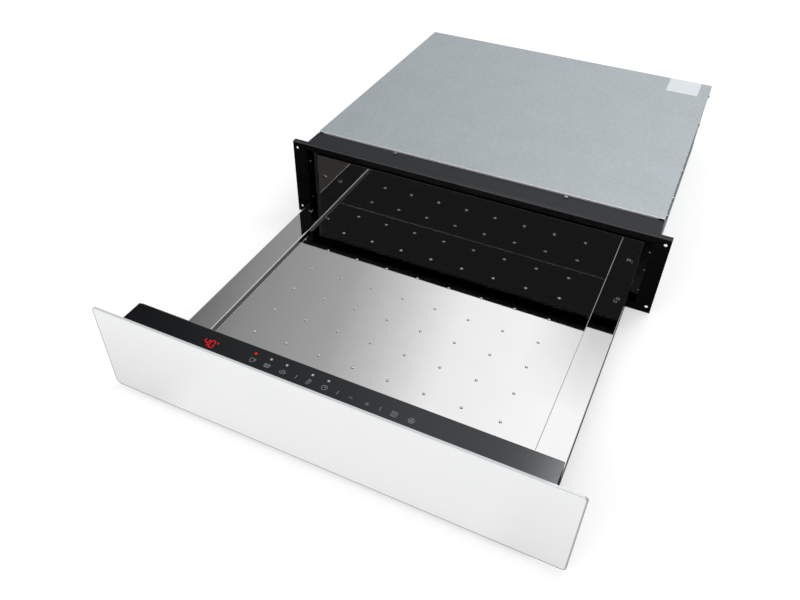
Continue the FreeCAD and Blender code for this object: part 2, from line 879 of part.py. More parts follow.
def rear_wall():
    """Polished rear wall, hemmed at the top and sides, toed over the floor, on feet over the ledges."""
    pieces = well_wall(rear_wall_y, rear_wall_back_y, wall_top_z)
    half = drawer_half - seat_gap
    toe_half = ledge_inner_x - seat_gap
    toe_z = floor_z + seat_gap
    pieces.append(block(-toe_half, toe_half, rear_wall_y - wall_toe, rear_wall_y, toe_z,
                        toe_z + drawer_sheet))
    hem_z = wall_top_z - drawer_sheet
    pieces.append(block(-half, half, rear_wall_y, rear_wall_y + rim_hem, hem_z, wall_top_z))
    foot_z = ledge_z + seat_gap
    side = block(half - drawer_sheet, half, rear_wall_y, rear_wall_y + rim_hem, foot_z, wall_top_z)
    foot = block(ledge_inner_x, half, rear_wall_y, drawer_rear_y, foot_z, foot_z + drawer_sheet)
    sheet = fused(pieces + both_sides(side) + both_sides(foot))
    sheet = rounded(sheet, ledge_round, ALONG_X,
                    lambda p: p.z > wall_top_z - running_gap and p.y < rear_wall_y + running_gap)
    right = [screw_hole(wall_screw_seat(), -ALONG_Y), screw_hole(foot_screw_seat(), ALONG_Z)]
    return cut(sheet, right + [mirrored(tool) for tool in right])


def floor_nib():
    """One nib pressed up from the floor."""
    sphere_radius = (nib_radius ** 2 + nib_height ** 2) / (2 * nib_height)
    sphere = Part.makeSphere(sphere_radius, V(0, 0, floor_z + nib_height - sphere_radius))
    keep = block(-nib_radius * 2, nib_radius * 2, -nib_radius * 2, nib_radius * 2,
                 floor_under_z, floor_z + nib_height + overrun)
    return sphere.common(keep)


def floor_pan():
    """Recessed floor with its grid of nibs, edges turned down at the sides and the rear."""
    half = ledge_inner_x - running_gap
    rear = rear_wall_y - floor_rear_gap
    lip_z = floor_z - floor_lip
    sheet = block(-half, half, carrier_rear_y, rear, floor_under_z, floor_z)
    side = block(half - drawer_sheet, half, carrier_rear_y, rear, lip_z, floor_z)
    back = block(-half, half, rear - drawer_sheet, rear, lip_z, floor_z)
    pan = fused([sheet, back] + both_sides(side))
    pan = rounded(pan, ledge_round, ALONG_X,
                  lambda p: p.z > floor_z - running_gap and p.y > rear - running_gap)
    nib = floor_nib()
    nibs = []
    for column in range(nib_columns):
        for row in range(nib_rows):
            one = nib.copy()
            one.translate(V((column - (nib_columns - 1) / 2) * nib_pitch,
                            rear_wall_y - nib_rear_inset - row * nib_pitch, 0))
            nibs.append(one)
    return pan.multiFuse(nibs)


def side_ledge_right():
    """Right ledge: a channel over the runner, closed at the front by a flange on the carrier."""
    inner, outer = ledge_inner_x, drawer_half
    top = block(inner, outer, carrier_rear_y, drawer_rear_y, ledge_under_z, ledge_z)
    inside = block(inner, inner + drawer_sheet, carrier_rear_y, drawer_rear_y, skirt_z, ledge_z)
    outside = block(outer - drawer_sheet, outer, carrier_rear_y, drawer_rear_y, skirt_z, ledge_z)
    front = block(inner, outer, carrier_rear_y, carrier_rear_y + drawer_sheet, skirt_z, ledge_z)
    channel = fused([top, inside, outside, front])
    channel = rounded(channel, ledge_round, ALONG_Y, lambda p: p.z > ledge_z - running_gap)
    holes = [screw_hole(ledge_screw_seat(), ALONG_Z), screw_hole(foot_screw_seat(), ALONG_Z)]
    holes += [screw_hole(seat, ALONG_Y) for seat in carrier_screw_seats()]
    return cut(channel, holes)


def rear_gussets():
    """Two angles that stay the rear wall on the ledges."""
    x = ledge_screw_seat().x
    x0, x1 = x - gusset_width / 2, x + gusset_width / 2
    foot_z = ledge_z + seat_gap + drawer_sheet
    y0 = rear_wall_back_y
    upright = block(x0, x1, y0, y0 + gusset_sheet, foot_z, foot_z + gusset_height)
    foot = block(x0, x1, y0, drawer_rear_y, foot_z, foot_z + gusset_sheet)
    angle = fused([upright, foot])
    angle = cut(angle, [screw_hole(wall_screw_seat(), -ALONG_Y), screw_hole(foot_screw_seat(), ALONG_Z)])
    return Part.makeCompound(both_sides(angle))


def drawer_screws():
    """Screws of the ledges, the rear wall, its gussets and the front carrier."""
    right = [screw(ledge_screw_seat(), ALONG_Z), screw(wall_screw_seat(), -ALONG_Y),
             screw(foot_screw_seat(), ALONG_Z)]
    right += [screw(seat, ALONG_Y, carrier_shank_length) for seat in carrier_screw_seats()]
    return Part.makeCompound(right + [mirrored(one) for one in right])


def floor_braces():
    """Hat-shaped cross members that carry the floor between the ledges."""
    half = ledge_inner_x - running_gap - drawer_sheet - running_gap
    first = rear_wall_y - floor_rear_gap - drawer_sheet - brace_setback - brace_width / 2
    last = carrier_rear_y + brace_setback + brace_width / 2
    parts = []
    for index in range(brace_count):
        y = first + (last - first) * index / (brace_count - 1)
        y0, y1 = y - brace_width / 2, y + brace_width / 2
        crown0, crown1 = y0 + brace_flange, y1 - brace_flange
        crown = block(-half, half, crown0, crown1, floor_under_z - brace_sheet, floor_under_z)
        webs = [block(-half, half, crown0, crown0 + brace_sheet, skirt_z, floor_under_z),
                block(-half, half, crown1 - brace_sheet, crown1, skirt_z, floor_under_z)]
        feet = [block(-half, half, y0, crown0 + brace_sheet, skirt_z, skirt_z + brace_sheet),
                block(-half, half, crown1 - brace_sheet, y1, skirt_z, skirt_z + brace_sheet)]
        parts.append(fused([crown] + webs + feet))
    return Part.makeCompound(parts)


def striker_rear_y():
    """Rear face of the striker at the open pose."""
    return rear_wall_y - floor_rear_gap + striker_overhang


def striker():
    """Angle under the rear of the floor that meets the latch plunger."""
    rear = striker_rear_y()
    floor_rear = rear_wall_y - floor_rear_gap
    z1 = floor_under_z
    step_z = floor_z - floor_lip
    x0, x1 = -striker_width / 2, striker_width / 2
    hanger = block(x0, x1, floor_rear - drawer_sheet - striker_sheet, floor_rear - drawer_sheet,
                   step_z - striker_sheet, z1)
    arm = block(x0, x1, floor_rear - drawer_sheet - striker_sheet, rear, step_z - striker_sheet, step_z)
    face = block(x0, x1, rear - striker_sheet, rear, skirt_z, step_z)
    return fused([hanger, arm, face])


def latch_start_y():
    """Front face of the latch body."""
    return baffle_rear_y + latch_start_gap


def plunger_tip_y():
    """Tip of the plunger, just behind the striker of the closed drawer."""
    return striker_rear_y() + drawer_travel + seat_gap


def plunger_end_y():
    """Inner end of the plunger at rest."""
    return latch_start_y() + plunger_inside


def latch_axis_z():
    """Height of the plunger's axis, in the middle of the striker's face."""
    return (skirt_z + floor_z - floor_lip) / 2


def latch_body():
    """Housing of the push latch, standing on the base pan."""
    y0 = latch_start_y()
    z = latch_axis_z()
    case = block(-latch_width / 2, latch_width / 2, y0, y0 + latch_length,
                 casing_sheet, casing_sheet + latch_height)
    depth = plunger_end_y() + spring_length - y0
    bore = rod(plunger_radius + running_gap, V(0, y0 - overrun, z), ALONG_Y, depth + overrun)
    return case.cut(bore)


def latch_plunger():
    """Round plunger with a softened tip."""
    y0, y1 = plunger_tip_y(), plunger_end_y()
    pin = rod(plunger_radius, V(0, y0, latch_axis_z()), ALONG_Y, y1 - y0)
    rim = [edge for edge in pin.Edges if edge.Closed and abs(edge.CenterOfMass.y - y0) < running_gap]
    return pin.makeFillet(plunger_tip_round, rim)


def least_gap_between_turns(point, steps):
    """Least clear distance between points of the spring that lie half a turn or more apart."""
    half_turn = steps // spring_turns // 2
    pairs = [(a, b) for a in range(steps + 1) for b in range(a + half_turn, steps + 1)]
    return min((point(a) - point(b)).Length for a, b in pairs) - 2 * spring_wire


def latch_spring():
    """Compression spring behind the plunger, drawn in quarter-turn arcs."""
    radius = plunger_radius - spring_wire - spring_side_gap
    usable = spring_length - 2 * spring_wire - 2 * running_gap
    y0 = plunger_end_y() + spring_wire + running_gap
    z = latch_axis_z()
    steps = 8 * spring_turns

    def point(step):
        angle = 2 * math.pi * step * spring_turns / steps
        return V(radius * math.cos(angle), y0 + usable * step / steps, z + radius * math.sin(angle))

    arcs = [Part.Arc(point(step), point(step + 1), point(step + 2)).toShape()
            for step in range(0, steps, 2)]
    path = Part.Wire(arcs)
    start = arcs[0]
    print("latch spring, least gap to itself in mm:", round(least_gap_between_turns(point, steps), 3))
    profile = Part.Wire([Part.makeCircle(spring_wire, point(0), start.tangentAt(start.FirstParameter))])
    return path.makePipeShell([profile], True, False)


def fan_front_y():
    """Front edge of the fan wheel."""
    return baffle_rear_y + fan_front_gap


def motor_plate_y():
    """Front face of the motor's plate."""
    return fan_front_y() + fan_width + motor_gap


def fan_wheel():
    """Radial fan wheel: rear plate, hub, swept blades and front ring."""
    y0 = fan_front_y()
    y1 = y0 + fan_width
    z = fan_axis_z()
    plate = rod(fan_radius, V(0, y1 - fan_plate, z), ALONG_Y, fan_plate)
    hub = rod(hub_radius, V(0, y0 + fan_plate, z), ALONG_Y, fan_width - fan_plate)
    ring = rod(fan_radius, V(0, y0, z), ALONG_Y, fan_plate)
    mouth_start = V(0, y0 - overrun, z)
    ring = ring.cut(rod(fan_radius - fan_ring_width, mouth_start, ALONG_Y, fan_plate + 2 * overrun))
    reach = fan_radius - fan_blade_thickness
    blades = []
    for index in range(fan_blades):
        blade = block(-fan_blade_thickness / 2, fan_blade_thickness / 2, y0, y1 - fan_plate / 2,
                      z + fan_blade_inner, z + reach)
        middle = V(0, y0, z + reach)
        blade.rotate(middle, ALONG_Y, fan_blade_sweep)
        blade.rotate(V(0, y0, z), ALONG_Y, 360 * index / fan_blades)
        blades.append(blade)
    envelope = rod(fan_radius, V(0, y0, z), ALONG_Y, fan_width)
    wheel = fused([plate, hub, ring] + blades).common(envelope)
    bore = rod(shaft_radius + running_gap / 2, V(0, y0 - overrun, z), ALONG_Y, fan_width + 2 * overrun)
    return wheel.cut(bore)


def stator_y():
    """Front face of the stator."""
    return motor_plate_y() + motor_plate


def end_cap_y():
    """Front face of the motor's end cap."""
    return stator_y() + stator_depth + end_cap_post


def motor_rotor():
    """Shaft with its rotor core."""
    z = fan_axis_z()
    y0 = fan_front_y() + fan_plate
    y1 = end_cap_y() + end_cap_thickness + shaft_end
    shaft = rod(shaft_radius, V(0, y0, z), ALONG_Y, y1 - y0)
    core = rod(rotor_radius, V(0, stator_y() + air_gap, z), ALONG_Y, stator_depth - 2 * air_gap)
    return fused([shaft, core])


def motor_stator():
    """Laminated stator with the rotor's bore and a leg for the coil."""
    z = fan_axis_z()
    y0 = stator_y()
    y1 = y0 + stator_depth
    half = stator_width / 2
    frame = block(-half, half, y0, y1, z - half, z + half)
    leg = block(half, half + 2 * coil_wall + coil_width / 2, y0, y1, z - coil_wall / 2, z + coil_wall / 2)
    bore = rod(rotor_radius + air_gap, V(0, y0 - overrun, z), ALONG_Y, stator_depth + 2 * overrun)
    return fused([frame, leg]).cut(bore)


def motor_coil():
    """Wound bobbin on the stator's leg."""
    z = fan_axis_z()
    y = stator_y() + stator_depth / 2
    x0 = stator_width / 2 + coil_gap
    x1 = x0 + coil_width / 2 + coil_wall
    reach = coil_height / 2 + coil_wall / 2
    depth = stator_depth / 2 + coil_gap
    front = max(y - depth - coil_wall / 2, stator_y() + running_gap)
    body = block(x0, x1, front, y + depth + coil_wall / 2, z - reach, z + reach)
    leg_half = coil_wall / 2 + running_gap
    hollow = block(x0 - overrun, x1 + overrun, stator_y() - overrun,
                   stator_y() + stator_depth + running_gap, z - leg_half, z + leg_half)
    return body.cut(hollow)


def motor_bracket():
    """Plate that carries the motor, on two legs that stand on the rear panel."""
    z = fan_axis_z()
    y0 = motor_plate_y()
    half, rise = motor_plate_width / 2, motor_plate_height / 2
    plate = block(-half, half, y0, y0 + motor_plate, z - rise, z + rise)
    leg = block(half - motor_plate, half, y0, rear_panel_y, z - rise, z + rise)
    foot = block(half - motor_plate, half + motor_foot, rear_panel_y - motor_plate, rear_panel_y,
                 z - rise, z + rise)
    bore = rod(shaft_radius + running_gap, V(0, y0 - overrun, z), ALONG_Y, motor_plate + 2 * overrun)
    return fused([plate] + both_sides(leg) + both_sides(foot)).cut(bore)


def motor_end_cap():
    """Rear bearing plate of the motor, on two posts."""
    z = fan_axis_z()
    y0 = end_cap_y()
    half = stator_width / 2
    strap = block(-end_cap_width / 2, end_cap_width / 2, y0, y0 + end_cap_thickness, z - half, z + half)
    posts = [block(-end_cap_width / 2, end_cap_width / 2, y0 - end_cap_post, y0,
                   z + side * (half - end_cap_post / 2) - end_cap_post / 2,
                   z + side * (half - end_cap_post / 2) + end_cap_post / 2) for side in (1, -1)]
    bore = rod(shaft_radius + running_gap, V(0, y0 - overrun, z), ALONG_Y, end_cap_thickness + 2 * overrun)
    return fused([strap] + posts).cut(bore)


def heater_path():
    """The heating tube's centre line: an open loop round the fan, its ends turned to the rear."""
    y = baffle_rear_y + heater_setback
    z = fan_axis_z()
    x = heater_half_width
    top, low = z + heater_rise, z - heater_rise
    gap = heater_bend
    points = [V(x, y + heater_tail, z + gap), V(x, y, z + gap), V(x, y, top), V(-x, y, top),
              V(-x, y, low), V(x, y, low), V(x, y, z - gap), V(x, y + heater_tail, z - gap)]
    edges = []
    start = points[0]
    for before, corner, after in zip(points, points[1:], points[2:]):
        into = (corner - before).normalize()
        away = (after - corner).normalize()
        radius = min(heater_bend / 2, (corner - before).Length / 3, (after - corner).Length / 3)
        first, last = corner - into * radius, corner + away * radius
        middle = corner + (away - into).normalize() * radius * (math.sqrt(2) - 1)
        edges.append(Part.LineSegment(start, first).toShape())
        edges.append(Part.Arc(first, middle, last).toShape())
        start = last
    edges.append(Part.LineSegment(start, points[-1]).toShape())
    return Part.Wire(edges), points[0]


def heating_element():
    """Tubular heating element."""
    path, start = heater_path()
    profile = Part.Wire([Part.makeCircle(heater_radius, start, ALONG_Y)])
    return path.makePipeShell([profile], True, False)


def heater_clips():
    """Four clips that hold the heating tube on the baffle."""
    y0 = baffle_rear_y
    tube_y = baffle_rear_y + heater_setback
    y1 = tube_y + heater_radius + motor_plate
    parts = []
    for side in (1, -1):
        for level in (1, -1):
            x = side * heater_half_width * heater_clip_share
            z = fan_axis_z() + level * heater_rise
            reach = heater_radius + motor_plate
            clip = block(x - heater_clip_width / 2, x + heater_clip_width / 2, y0, y1, z - reach, z + reach)
            bore = rod(heater_radius + running_gap, V(x - heater_clip_width, tube_y, z),
                       ALONG_X, 2 * heater_clip_width)
            parts.append(clip.cut(bore))
    return Part.makeCompound(parts)


def thermal_cutout():
    """Snap-disc cut-out on the baffle, with two tabs."""
    x = liner_inner_x * cutout_x_share
    z = fan_axis_z()
    disc = rod(cutout_radius, V(x, baffle_rear_y, z), ALONG_Y, cutout_height)
    tab_x = x - cutout_radius / 2
    tab_y = baffle_rear_y + cutout_height
    tab = block(tab_x - cutout_tab, tab_x, tab_y - cutout_tab, tab_y + cutout_height,
                z - cutout_tab, z + cutout_tab)
    other = tab.copy()
    other.translate(V(cutout_radius + cutout_tab, 0, 0))
    return fused([disc, tab, other])


def power_board_corner():
    """Lower outer front corner of the power board."""
    return V(-panel_inner_x + power_board_side_gap, rear_panel_y - standoff_length - board_thickness,
             power_board_lift)


def power_board():
    """Power board on four standoffs from the rear panel."""
    corner = power_board_corner()
    x1, z1 = corner.x + power_board_width, corner.z + power_board_height
    board = block(corner.x, x1, corner.y, corner.y + board_thickness, corner.z, z1)
    posts = [rod(standoff_radius, V(x, corner.y + board_thickness, z), ALONG_Y, standoff_length)
             for x in (corner.x + standoff_inset, x1 - standoff_inset)
             for z in (corner.z + standoff_inset, z1 - standoff_inset)]
    return fused([board] + posts)


def board_components():
    """Relay, transformer, capacitor and terminals on the power board."""
    corner = power_board_corner()
    y = corner.y
    width, height = power_board_width, power_board_height
    parts = []
    for part_x, part_z, size in ((corner.x + width / 8, corner.z + height * 3 / 5, relay_size),
                                 (corner.x + width / 2, corner.z + height / 2, transformer_size)):
        parts.append(block(part_x, part_x + size[0], y - size[1], y, part_z, part_z + size[2]))
    parts.append(rod(capacitor_radius, V(corner.x + width / 4, y, corner.z + height * 2 / 5), -ALONG_Y,
                     capacitor_height))
    start = corner.x + width / 2
    for index in range(terminal_count):
        x = start + index * terminal_pitch
        parts.append(block(x, x + terminal_pitch * 9 / 10, y - terminal_depth, y,
                           corner.z + height / 10, corner.z + height / 10 + terminal_height))
    return Part.makeCompound(parts)


def cable_gland():
    """Cable gland in the rear panel: flange and nose outside, nut inside."""
    centre = gland_centre()
    y_out = casing_rear_y
    flange = rod(gland_flange_radius, V(centre.x, rear_panel_back_y, centre.z), ALONG_Y,
                 gland_flange_thickness + casing_sheet)
    nose = rod(gland_radius, V(centre.x, y_out, centre.z), ALONG_Y, gland_flange_thickness + gland_nose)
    thread = rod(gland_radius, V(centre.x, rear_panel_y - gland_nut_thickness, centre.z), ALONG_Y,
                 gland_nut_thickness + 2 * casing_sheet)
    nut = rod(gland_flange_radius, V(centre.x, rear_panel_y - gland_nut_thickness, centre.z), ALONG_Y,
              gland_nut_thickness)
    length = rear_end_y - (rear_panel_y - gland_nut_thickness)
    bore = rod(gland_bore, V(centre.x, rear_panel_y - gland_nut_thickness - overrun, centre.z), ALONG_Y,
               length + 2 * overrun)
    return fused([flange, nose, thread, nut]).cut(bore)


def blank_label():
    """Plain white label at the rear right of the cover."""
    x1 = casing_half - label_side_inset
    return block(x1 - label_width, x1, casing_rear_y - label_length, casing_rear_y,
                 cover_top_z, cover_top_z + label_thickness)


SINGLE_PIECES = (
    base_pan, rear_panel, top_cover, front_collar, cover_screws, front_flange, flange_screws,
    liner_right, liner_left, liner_ceiling, air_baffle, front_glass, front_carrier, control_box,
    control_panel, control_board, display_module, front_wall, rear_wall, floor_pan, rear_gussets,
    drawer_screws, floor_braces, striker, latch_body, latch_plunger, latch_spring, fan_wheel,
    motor_rotor, motor_stator, motor_coil, motor_bracket, motor_end_cap, heating_element,
    heater_clips, thermal_cutout, power_board, board_components, cable_gland, blank_label,
)
PAIRED_PIECES = (
    side_panel_right, runner_support_right, rail_cabinet_right, rail_middle_right,
    rail_drawer_right, cage_outer_right, cage_inner_right, balls_outer_right, balls_inner_right,
    side_ledge_right,
)


def export(node, shape):
    """Writes one piece, moved so that the origin is the middle of the footprint."""
    moved = shape.copy()
    moved.translate(V(0, -origin_y, 0))
    if not moved.isValid():
        raise ValueError(node + " is not a valid shape")
    moved.exportStep("parts/" + node + ".step")


def main():
    os.makedirs("parts", exist_ok=True)
    for build in SINGLE_PIECES:
        export(build.__name__, build())
    for build in PAIRED_PIECES:
        shape = build()
        export(build.__name__, shape)
        export(build.__name__.replace("_right", "_left"), mirrored(shape))


main()
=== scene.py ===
import math

import bmesh
import bpy
from mathutils import Matrix, Vector


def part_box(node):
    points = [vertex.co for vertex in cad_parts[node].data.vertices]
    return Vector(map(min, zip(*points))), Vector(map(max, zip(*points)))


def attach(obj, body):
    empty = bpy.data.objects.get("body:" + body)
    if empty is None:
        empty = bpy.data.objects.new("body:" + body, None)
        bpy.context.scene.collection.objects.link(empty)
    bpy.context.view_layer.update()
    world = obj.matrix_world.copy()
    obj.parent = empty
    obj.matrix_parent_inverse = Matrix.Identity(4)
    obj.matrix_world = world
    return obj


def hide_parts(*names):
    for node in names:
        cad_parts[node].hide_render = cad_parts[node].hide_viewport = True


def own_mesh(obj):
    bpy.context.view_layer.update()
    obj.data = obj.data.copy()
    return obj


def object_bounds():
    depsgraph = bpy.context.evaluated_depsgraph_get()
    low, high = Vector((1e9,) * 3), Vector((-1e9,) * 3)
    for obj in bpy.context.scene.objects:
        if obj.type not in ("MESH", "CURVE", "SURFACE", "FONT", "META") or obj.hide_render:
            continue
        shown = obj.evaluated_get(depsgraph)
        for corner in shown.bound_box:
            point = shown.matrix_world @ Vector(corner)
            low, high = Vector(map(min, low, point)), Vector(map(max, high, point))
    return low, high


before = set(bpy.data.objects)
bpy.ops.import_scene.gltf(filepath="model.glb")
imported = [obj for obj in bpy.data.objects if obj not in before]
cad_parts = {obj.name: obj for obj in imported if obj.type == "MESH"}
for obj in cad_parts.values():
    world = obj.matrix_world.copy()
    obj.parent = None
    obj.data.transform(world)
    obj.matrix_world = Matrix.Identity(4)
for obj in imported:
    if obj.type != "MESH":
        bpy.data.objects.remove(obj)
cad_low, cad_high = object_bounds()

MM = 0.001
WHITE = (1.0, 1.0, 1.0, 1.0)
UNSTRETCHED = (1.0, 1.0, 1.0)

# camera: place in metres, angles in degrees, lens and sensor in millimetres
CAMERA_PLACE = (0.29606, -0.91728, 0.71079)
CAMERA_YAW = 24.685
CAMERA_PITCH = 41.356
CAMERA_ROLL = 1.189
CAMERA_LENS = 32.72
CAMERA_SENSOR = 36.0

# studio floor: sizes in metres, its own tone, and how much the camera and mirrors see it lifted,
# from near the object to far away
FLOOR_SIZE = 24.0
FLOOR_SIDES = 96
FLOOR_WHITE = 0.64
FLOOR_LIFT = 0.46
FAR_LIFT = 0.66
FAR_FLOOR = (0.9, 2.6)

# darker floor beside the object, seen only in mirrors: where it starts and ends, in metres
SHADED_SIDE = (0.20, 0.24, 1.0, 1.4)
SHADED_DEPTH = (-0.60, -0.48, 0.55, 0.75)

# sky: its level for matt surfaces, and the darkest level that a mirror sees
AMBIENT = 0.62
SKY_DARK = 0.010

# how light the studio looks in a mirror, from its left to its right: direction and level,
# first high up and then near the horizon
SKY_BANDS = (
    (-1.0, 0.50), (-0.80, 0.40), (-0.66, 0.10), (-0.60, 0.06), (-0.56, 0.12), (-0.49, 0.27),
    (-0.38, 0.38), (-0.31, 0.60), (-0.23, 0.90), (-0.08, 1.0), (0.28, 1.0), (0.40, 0.10),
    (0.72, 0.08), (0.90, 0.50), (1.0, 0.50),
)
LOW_BANDS = ((-1.0, 0.42), (-0.5, 0.60), (0.0, 0.85), (0.5, 0.70), (1.0, 0.50))
LOW_HEIGHT = (0.38, 0.50)

# the dark patch in front, and the part at the back that is dimmed by DIM_LOSS: directions
DARK_SIDE = (-0.75, -0.62, 0.35, 0.55)
DARK_FRONT = (-0.15, 0.20)
DIM_SIDE = (-0.14, -0.06, 0.0, 0.08)
DIM_BACK = (0.664, 0.771)
DIM_LOSS = 0.45

# the polished pieces, which mirror the sky and no lamp
POLISHED_NODES = ("floor_pan", "rear_wall", "front_wall", "side_ledge_left", "side_ledge_right")

# the display's tone curve: a straight foot, then a power
CURVE_FOOT = 0.04045
CURVE_SLOPE = 12.92
CURVE_SHIFT = 0.055
CURVE_POWER = 2.4

# which sockets a colour mix uses: its share and two colours, and its result
MIX_INPUTS = (0, 6, 7)
MIX_OUTPUT = 2


def shade(red, green, blue):
    """A colour written in display levels of 0 to 255, as the shader wants it."""
    linear = []
    for level in (red / 255, green / 255, blue / 255):
        if level <= CURVE_FOOT:
            linear.append(level / CURVE_SLOPE)
        else:
            linear.append(((level + CURVE_SHIFT) / (1 + CURVE_SHIFT)) ** CURVE_POWER)
    return (*linear, 1.0)


def grey(level):
    return (level, level, level, 1.0)


def connect(tree, socket, value):
    """Feeds a socket from another one, or sets its value."""
    if isinstance(value, bpy.types.NodeSocket):
        tree.links.new(value, socket)
    else:
        socket.default_value = value


def add(tree, kind, settings=None, **inputs):
    """One node. An input is a value, or the socket that feeds it."""
    made = tree.nodes.new("ShaderNode" + kind)
    for name, value in (settings or {}).items():
        setattr(made, name, value)
    for name, value in inputs.items():
        connect(tree, made.inputs[name.replace("_", " ")], value)
    return made


def math_of(tree, operation, first, second=0.0, clamp=False):
    made = add(tree, "Math", {"operation": operation, "use_clamp": clamp})
    connect(tree, made.inputs[0], first)
    connect(tree, made.inputs[1], second)
    return made.outputs[0]


def spread(tree, value, low, high, start=0.0, end=1.0):
    """A value that runs from start to end, mapped to run from low to high."""
    made = add(tree, "MapRange", Value=value)
    for name, number in (("From Min", start), ("From Max", end), ("To Min", low), ("To Max", high)):
        made.inputs[name].default_value = number
    return made.outputs["Result"]


def plateau(tree, value, rise_from, rise_to, fall_from, fall_to):
    """1 between the two slopes and 0 outside them."""
    rise = spread(tree, value, 0.0, 1.0, rise_from, rise_to)
    fall = spread(tree, value, 1.0, 0.0, fall_from, fall_to)
    return math_of(tree, "MULTIPLY", rise, fall)


def blend_of(tree, share, first, second):
    """The first colour where share is 0 and the second where it is 1."""
    made = add(tree, "Mix", {"data_type": "RGBA"})
    for number, value in zip(MIX_INPUTS, (share, first, second)):
        connect(tree, made.inputs[number], value)
    return made.outputs[MIX_OUTPUT]


def place(tree, stretch=UNSTRETCHED):
    """Where a point lies on its piece, in metres, with the axes stretched."""
    where = add(tree, "TexCoord").outputs["Object"]
    return add(tree, "Mapping", Vector=where, Scale=stretch).outputs["Vector"]


def axis_of(tree, vector, axis):
    return add(tree, "SeparateXYZ", Vector=vector).outputs[axis]


def under(tree, axis, limit):
    """1 where a point of the piece lies under a limit along an axis, and 0 elsewhere."""
    return math_of(tree, "LESS_THAN", axis_of(tree, place(tree), axis), limit)


def over(tree, axis, limit):
    """1 where a point of the piece lies over a limit along an axis, and 0 elsewhere."""
    return math_of(tree, "GREATER_THAN", axis_of(tree, place(tree), axis), limit)


def off_centre(tree):
    """How far a point of the piece lies to the left or right of the object's middle."""
    return math_of(tree, "ABSOLUTE", axis_of(tree, place(tree), "X"))


def noise(tree, size, detail=2.0, stretch=UNSTRETCHED):
    """Soft random values from 0 to 1, with features of about that size in metres."""
    made = add(tree, "TexNoise", Vector=place(tree, stretch), Scale=1 / size, Detail=detail)
    return made.outputs["Fac"]


def cells(tree, size):
    """One random value per grain, with grains of about that size in metres."""
    made = add(tree, "TexVoronoi", Vector=place(tree), Scale=1 / size)
    return add(tree, "SeparateColor", Color=made.outputs["Color"]).outputs[0]


def bumps(tree, height, depth, below=None):
    """A surface raised by height, a value of 0 to 1, times depth in metres."""
    made = add(tree, "Bump", Height=height, Distance=depth)
    if below is not None:
        connect(tree, made.inputs["Normal"], below)
    return made.outputs["Normal"]


def cloudy(dark, light, size, detail=2.0):
    """A colour that drifts between two tones."""
    def colour(tree):
        return blend_of(tree, noise(tree, size, detail), dark, light)

    return colour


def uneven(low, high, size, detail=2.0, stretch=UNSTRETCHED):
    """A roughness that drifts between two levels."""
    def roughness(tree):
        return spread(tree, noise(tree, size, detail, stretch), low, high)

    return roughness


def rippled(depth, size, detail=2.0, stretch=UNSTRETCHED):
    """A surface with soft random waves, its depth and size in metres."""
    def surface(tree):
        return bumps(tree, noise(tree, size, detail, stretch), depth)

    return surface


def empty_tree(owner):
    owner.use_nodes = True
    owner.node_tree.nodes.clear()
    return owner.node_tree


def finish(name, **inputs):
    """A material with one main shader, whose inputs may be worked out from its node tree."""
    made = bpy.data.materials.new(name)
    tree = empty_tree(made)
    worked_out = {key: value(tree) if callable(value) else value for key, value in inputs.items()}
    shader = add(tree, "BsdfPrincipled", **worked_out)
    add(tree, "OutputMaterial", Surface=shader.outputs["BSDF"])
    return made


# zinc sheet: the size of its grain and the width of the painted highlight along the cover's front
# edge, in metres
ZINC_GRAIN = 0.0035
ZINC_CLOUD = 0.05
ZINC_TONES = (shade(178, 186, 190), shade(200, 208, 212))
GRAIN_SHARE = 0.55
CLOUD_SHARE = 0.45
EDGE_HIGHLIGHT_WIDTH = 0.0013
EDGE_HIGHLIGHT_TONE = shade(250, 252, 252)


def zinc_colour(tree):
    grain = spread(tree, cells(tree, ZINC_GRAIN), 0.0, GRAIN_SHARE)
    cloud = math_of(tree, "MULTIPLY", noise(tree, ZINC_CLOUD, detail=3.0), CLOUD_SHARE)
    return blend_of(tree, math_of(tree, "ADD", cloud, grain), *ZINC_TONES)


def zinc_roughness(tree):
    return spread(tree, cells(tree, ZINC_GRAIN), low=0.50, high=0.62)


def zinc_surface(tree):
    grain = bumps(tree, cells(tree, ZINC_GRAIN), depth=0.000004)
    return bumps(tree, noise(tree, size=0.0006, detail=3.0), depth=0.00001, below=grain)


def zinc(name, colour):
    return finish(name, Base_Color=colour, Metallic=0.7, Roughness=zinc_roughness,
                  Normal=zinc_surface)


def zinc_sheet():
    return zinc("zinc_finish", zinc_colour)


def cover_zinc():
    """Zinc sheet with a painted highlight along its front edge."""
    low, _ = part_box("top_cover")

    def colour(tree):
        # the bright band along the front edge is a painted highlight
        return blend_of(tree, under(tree, "Y", low.y + EDGE_HIGHLIGHT_WIDTH), zinc_colour(tree), EDGE_HIGHLIGHT_TONE)

    return zinc("cover_finish", colour)


# black powder paint: its tones, its roughness from low to high, and its shine
BLACK = {"dark": shade(2, 2, 3), "light": shade(4, 4, 5), "low": 0.24, "high": 0.32, "shine": 0.4}
BLUE_BLACK = {
    "dark": shade(15, 18, 24), "light": shade(20, 24, 30), "low": 0.40, "high": 0.50, "shine": 0.36,
}
COOL_TINT = (0.88, 0.94, 1.0, 1.0)
# tone and width of the painted highlight along the flange's upper fold
FOLD_HIGHLIGHT_TONE = shade(60, 64, 70)
FOLD_HIGHLIGHT_WIDTH = 0.0012


def paint(name, dark, light, low, high, shine, tint=WHITE, highlight=None):
    """Paint with a fine texture, with a painted highlight where a function of the tree says."""
    even = cloudy(dark, light, size=0.02, detail=4.0)

    def highlighted(tree):
        return blend_of(tree, highlight(tree), even(tree), FOLD_HIGHLIGHT_TONE)

    return finish(name, Base_Color=highlighted if highlight else even,
                  Roughness=uneven(low, high, size=0.03, detail=4.0),
                  Normal=rippled(depth=0.00002, size=0.0011),
                  Specular_IOR_Level=shine, Specular_Tint=tint)


def black_paint():
    return paint("black_paint_finish", **BLACK)


def collar_paint():
    return paint("collar_paint_finish", **BLUE_BLACK, tint=COOL_TINT)


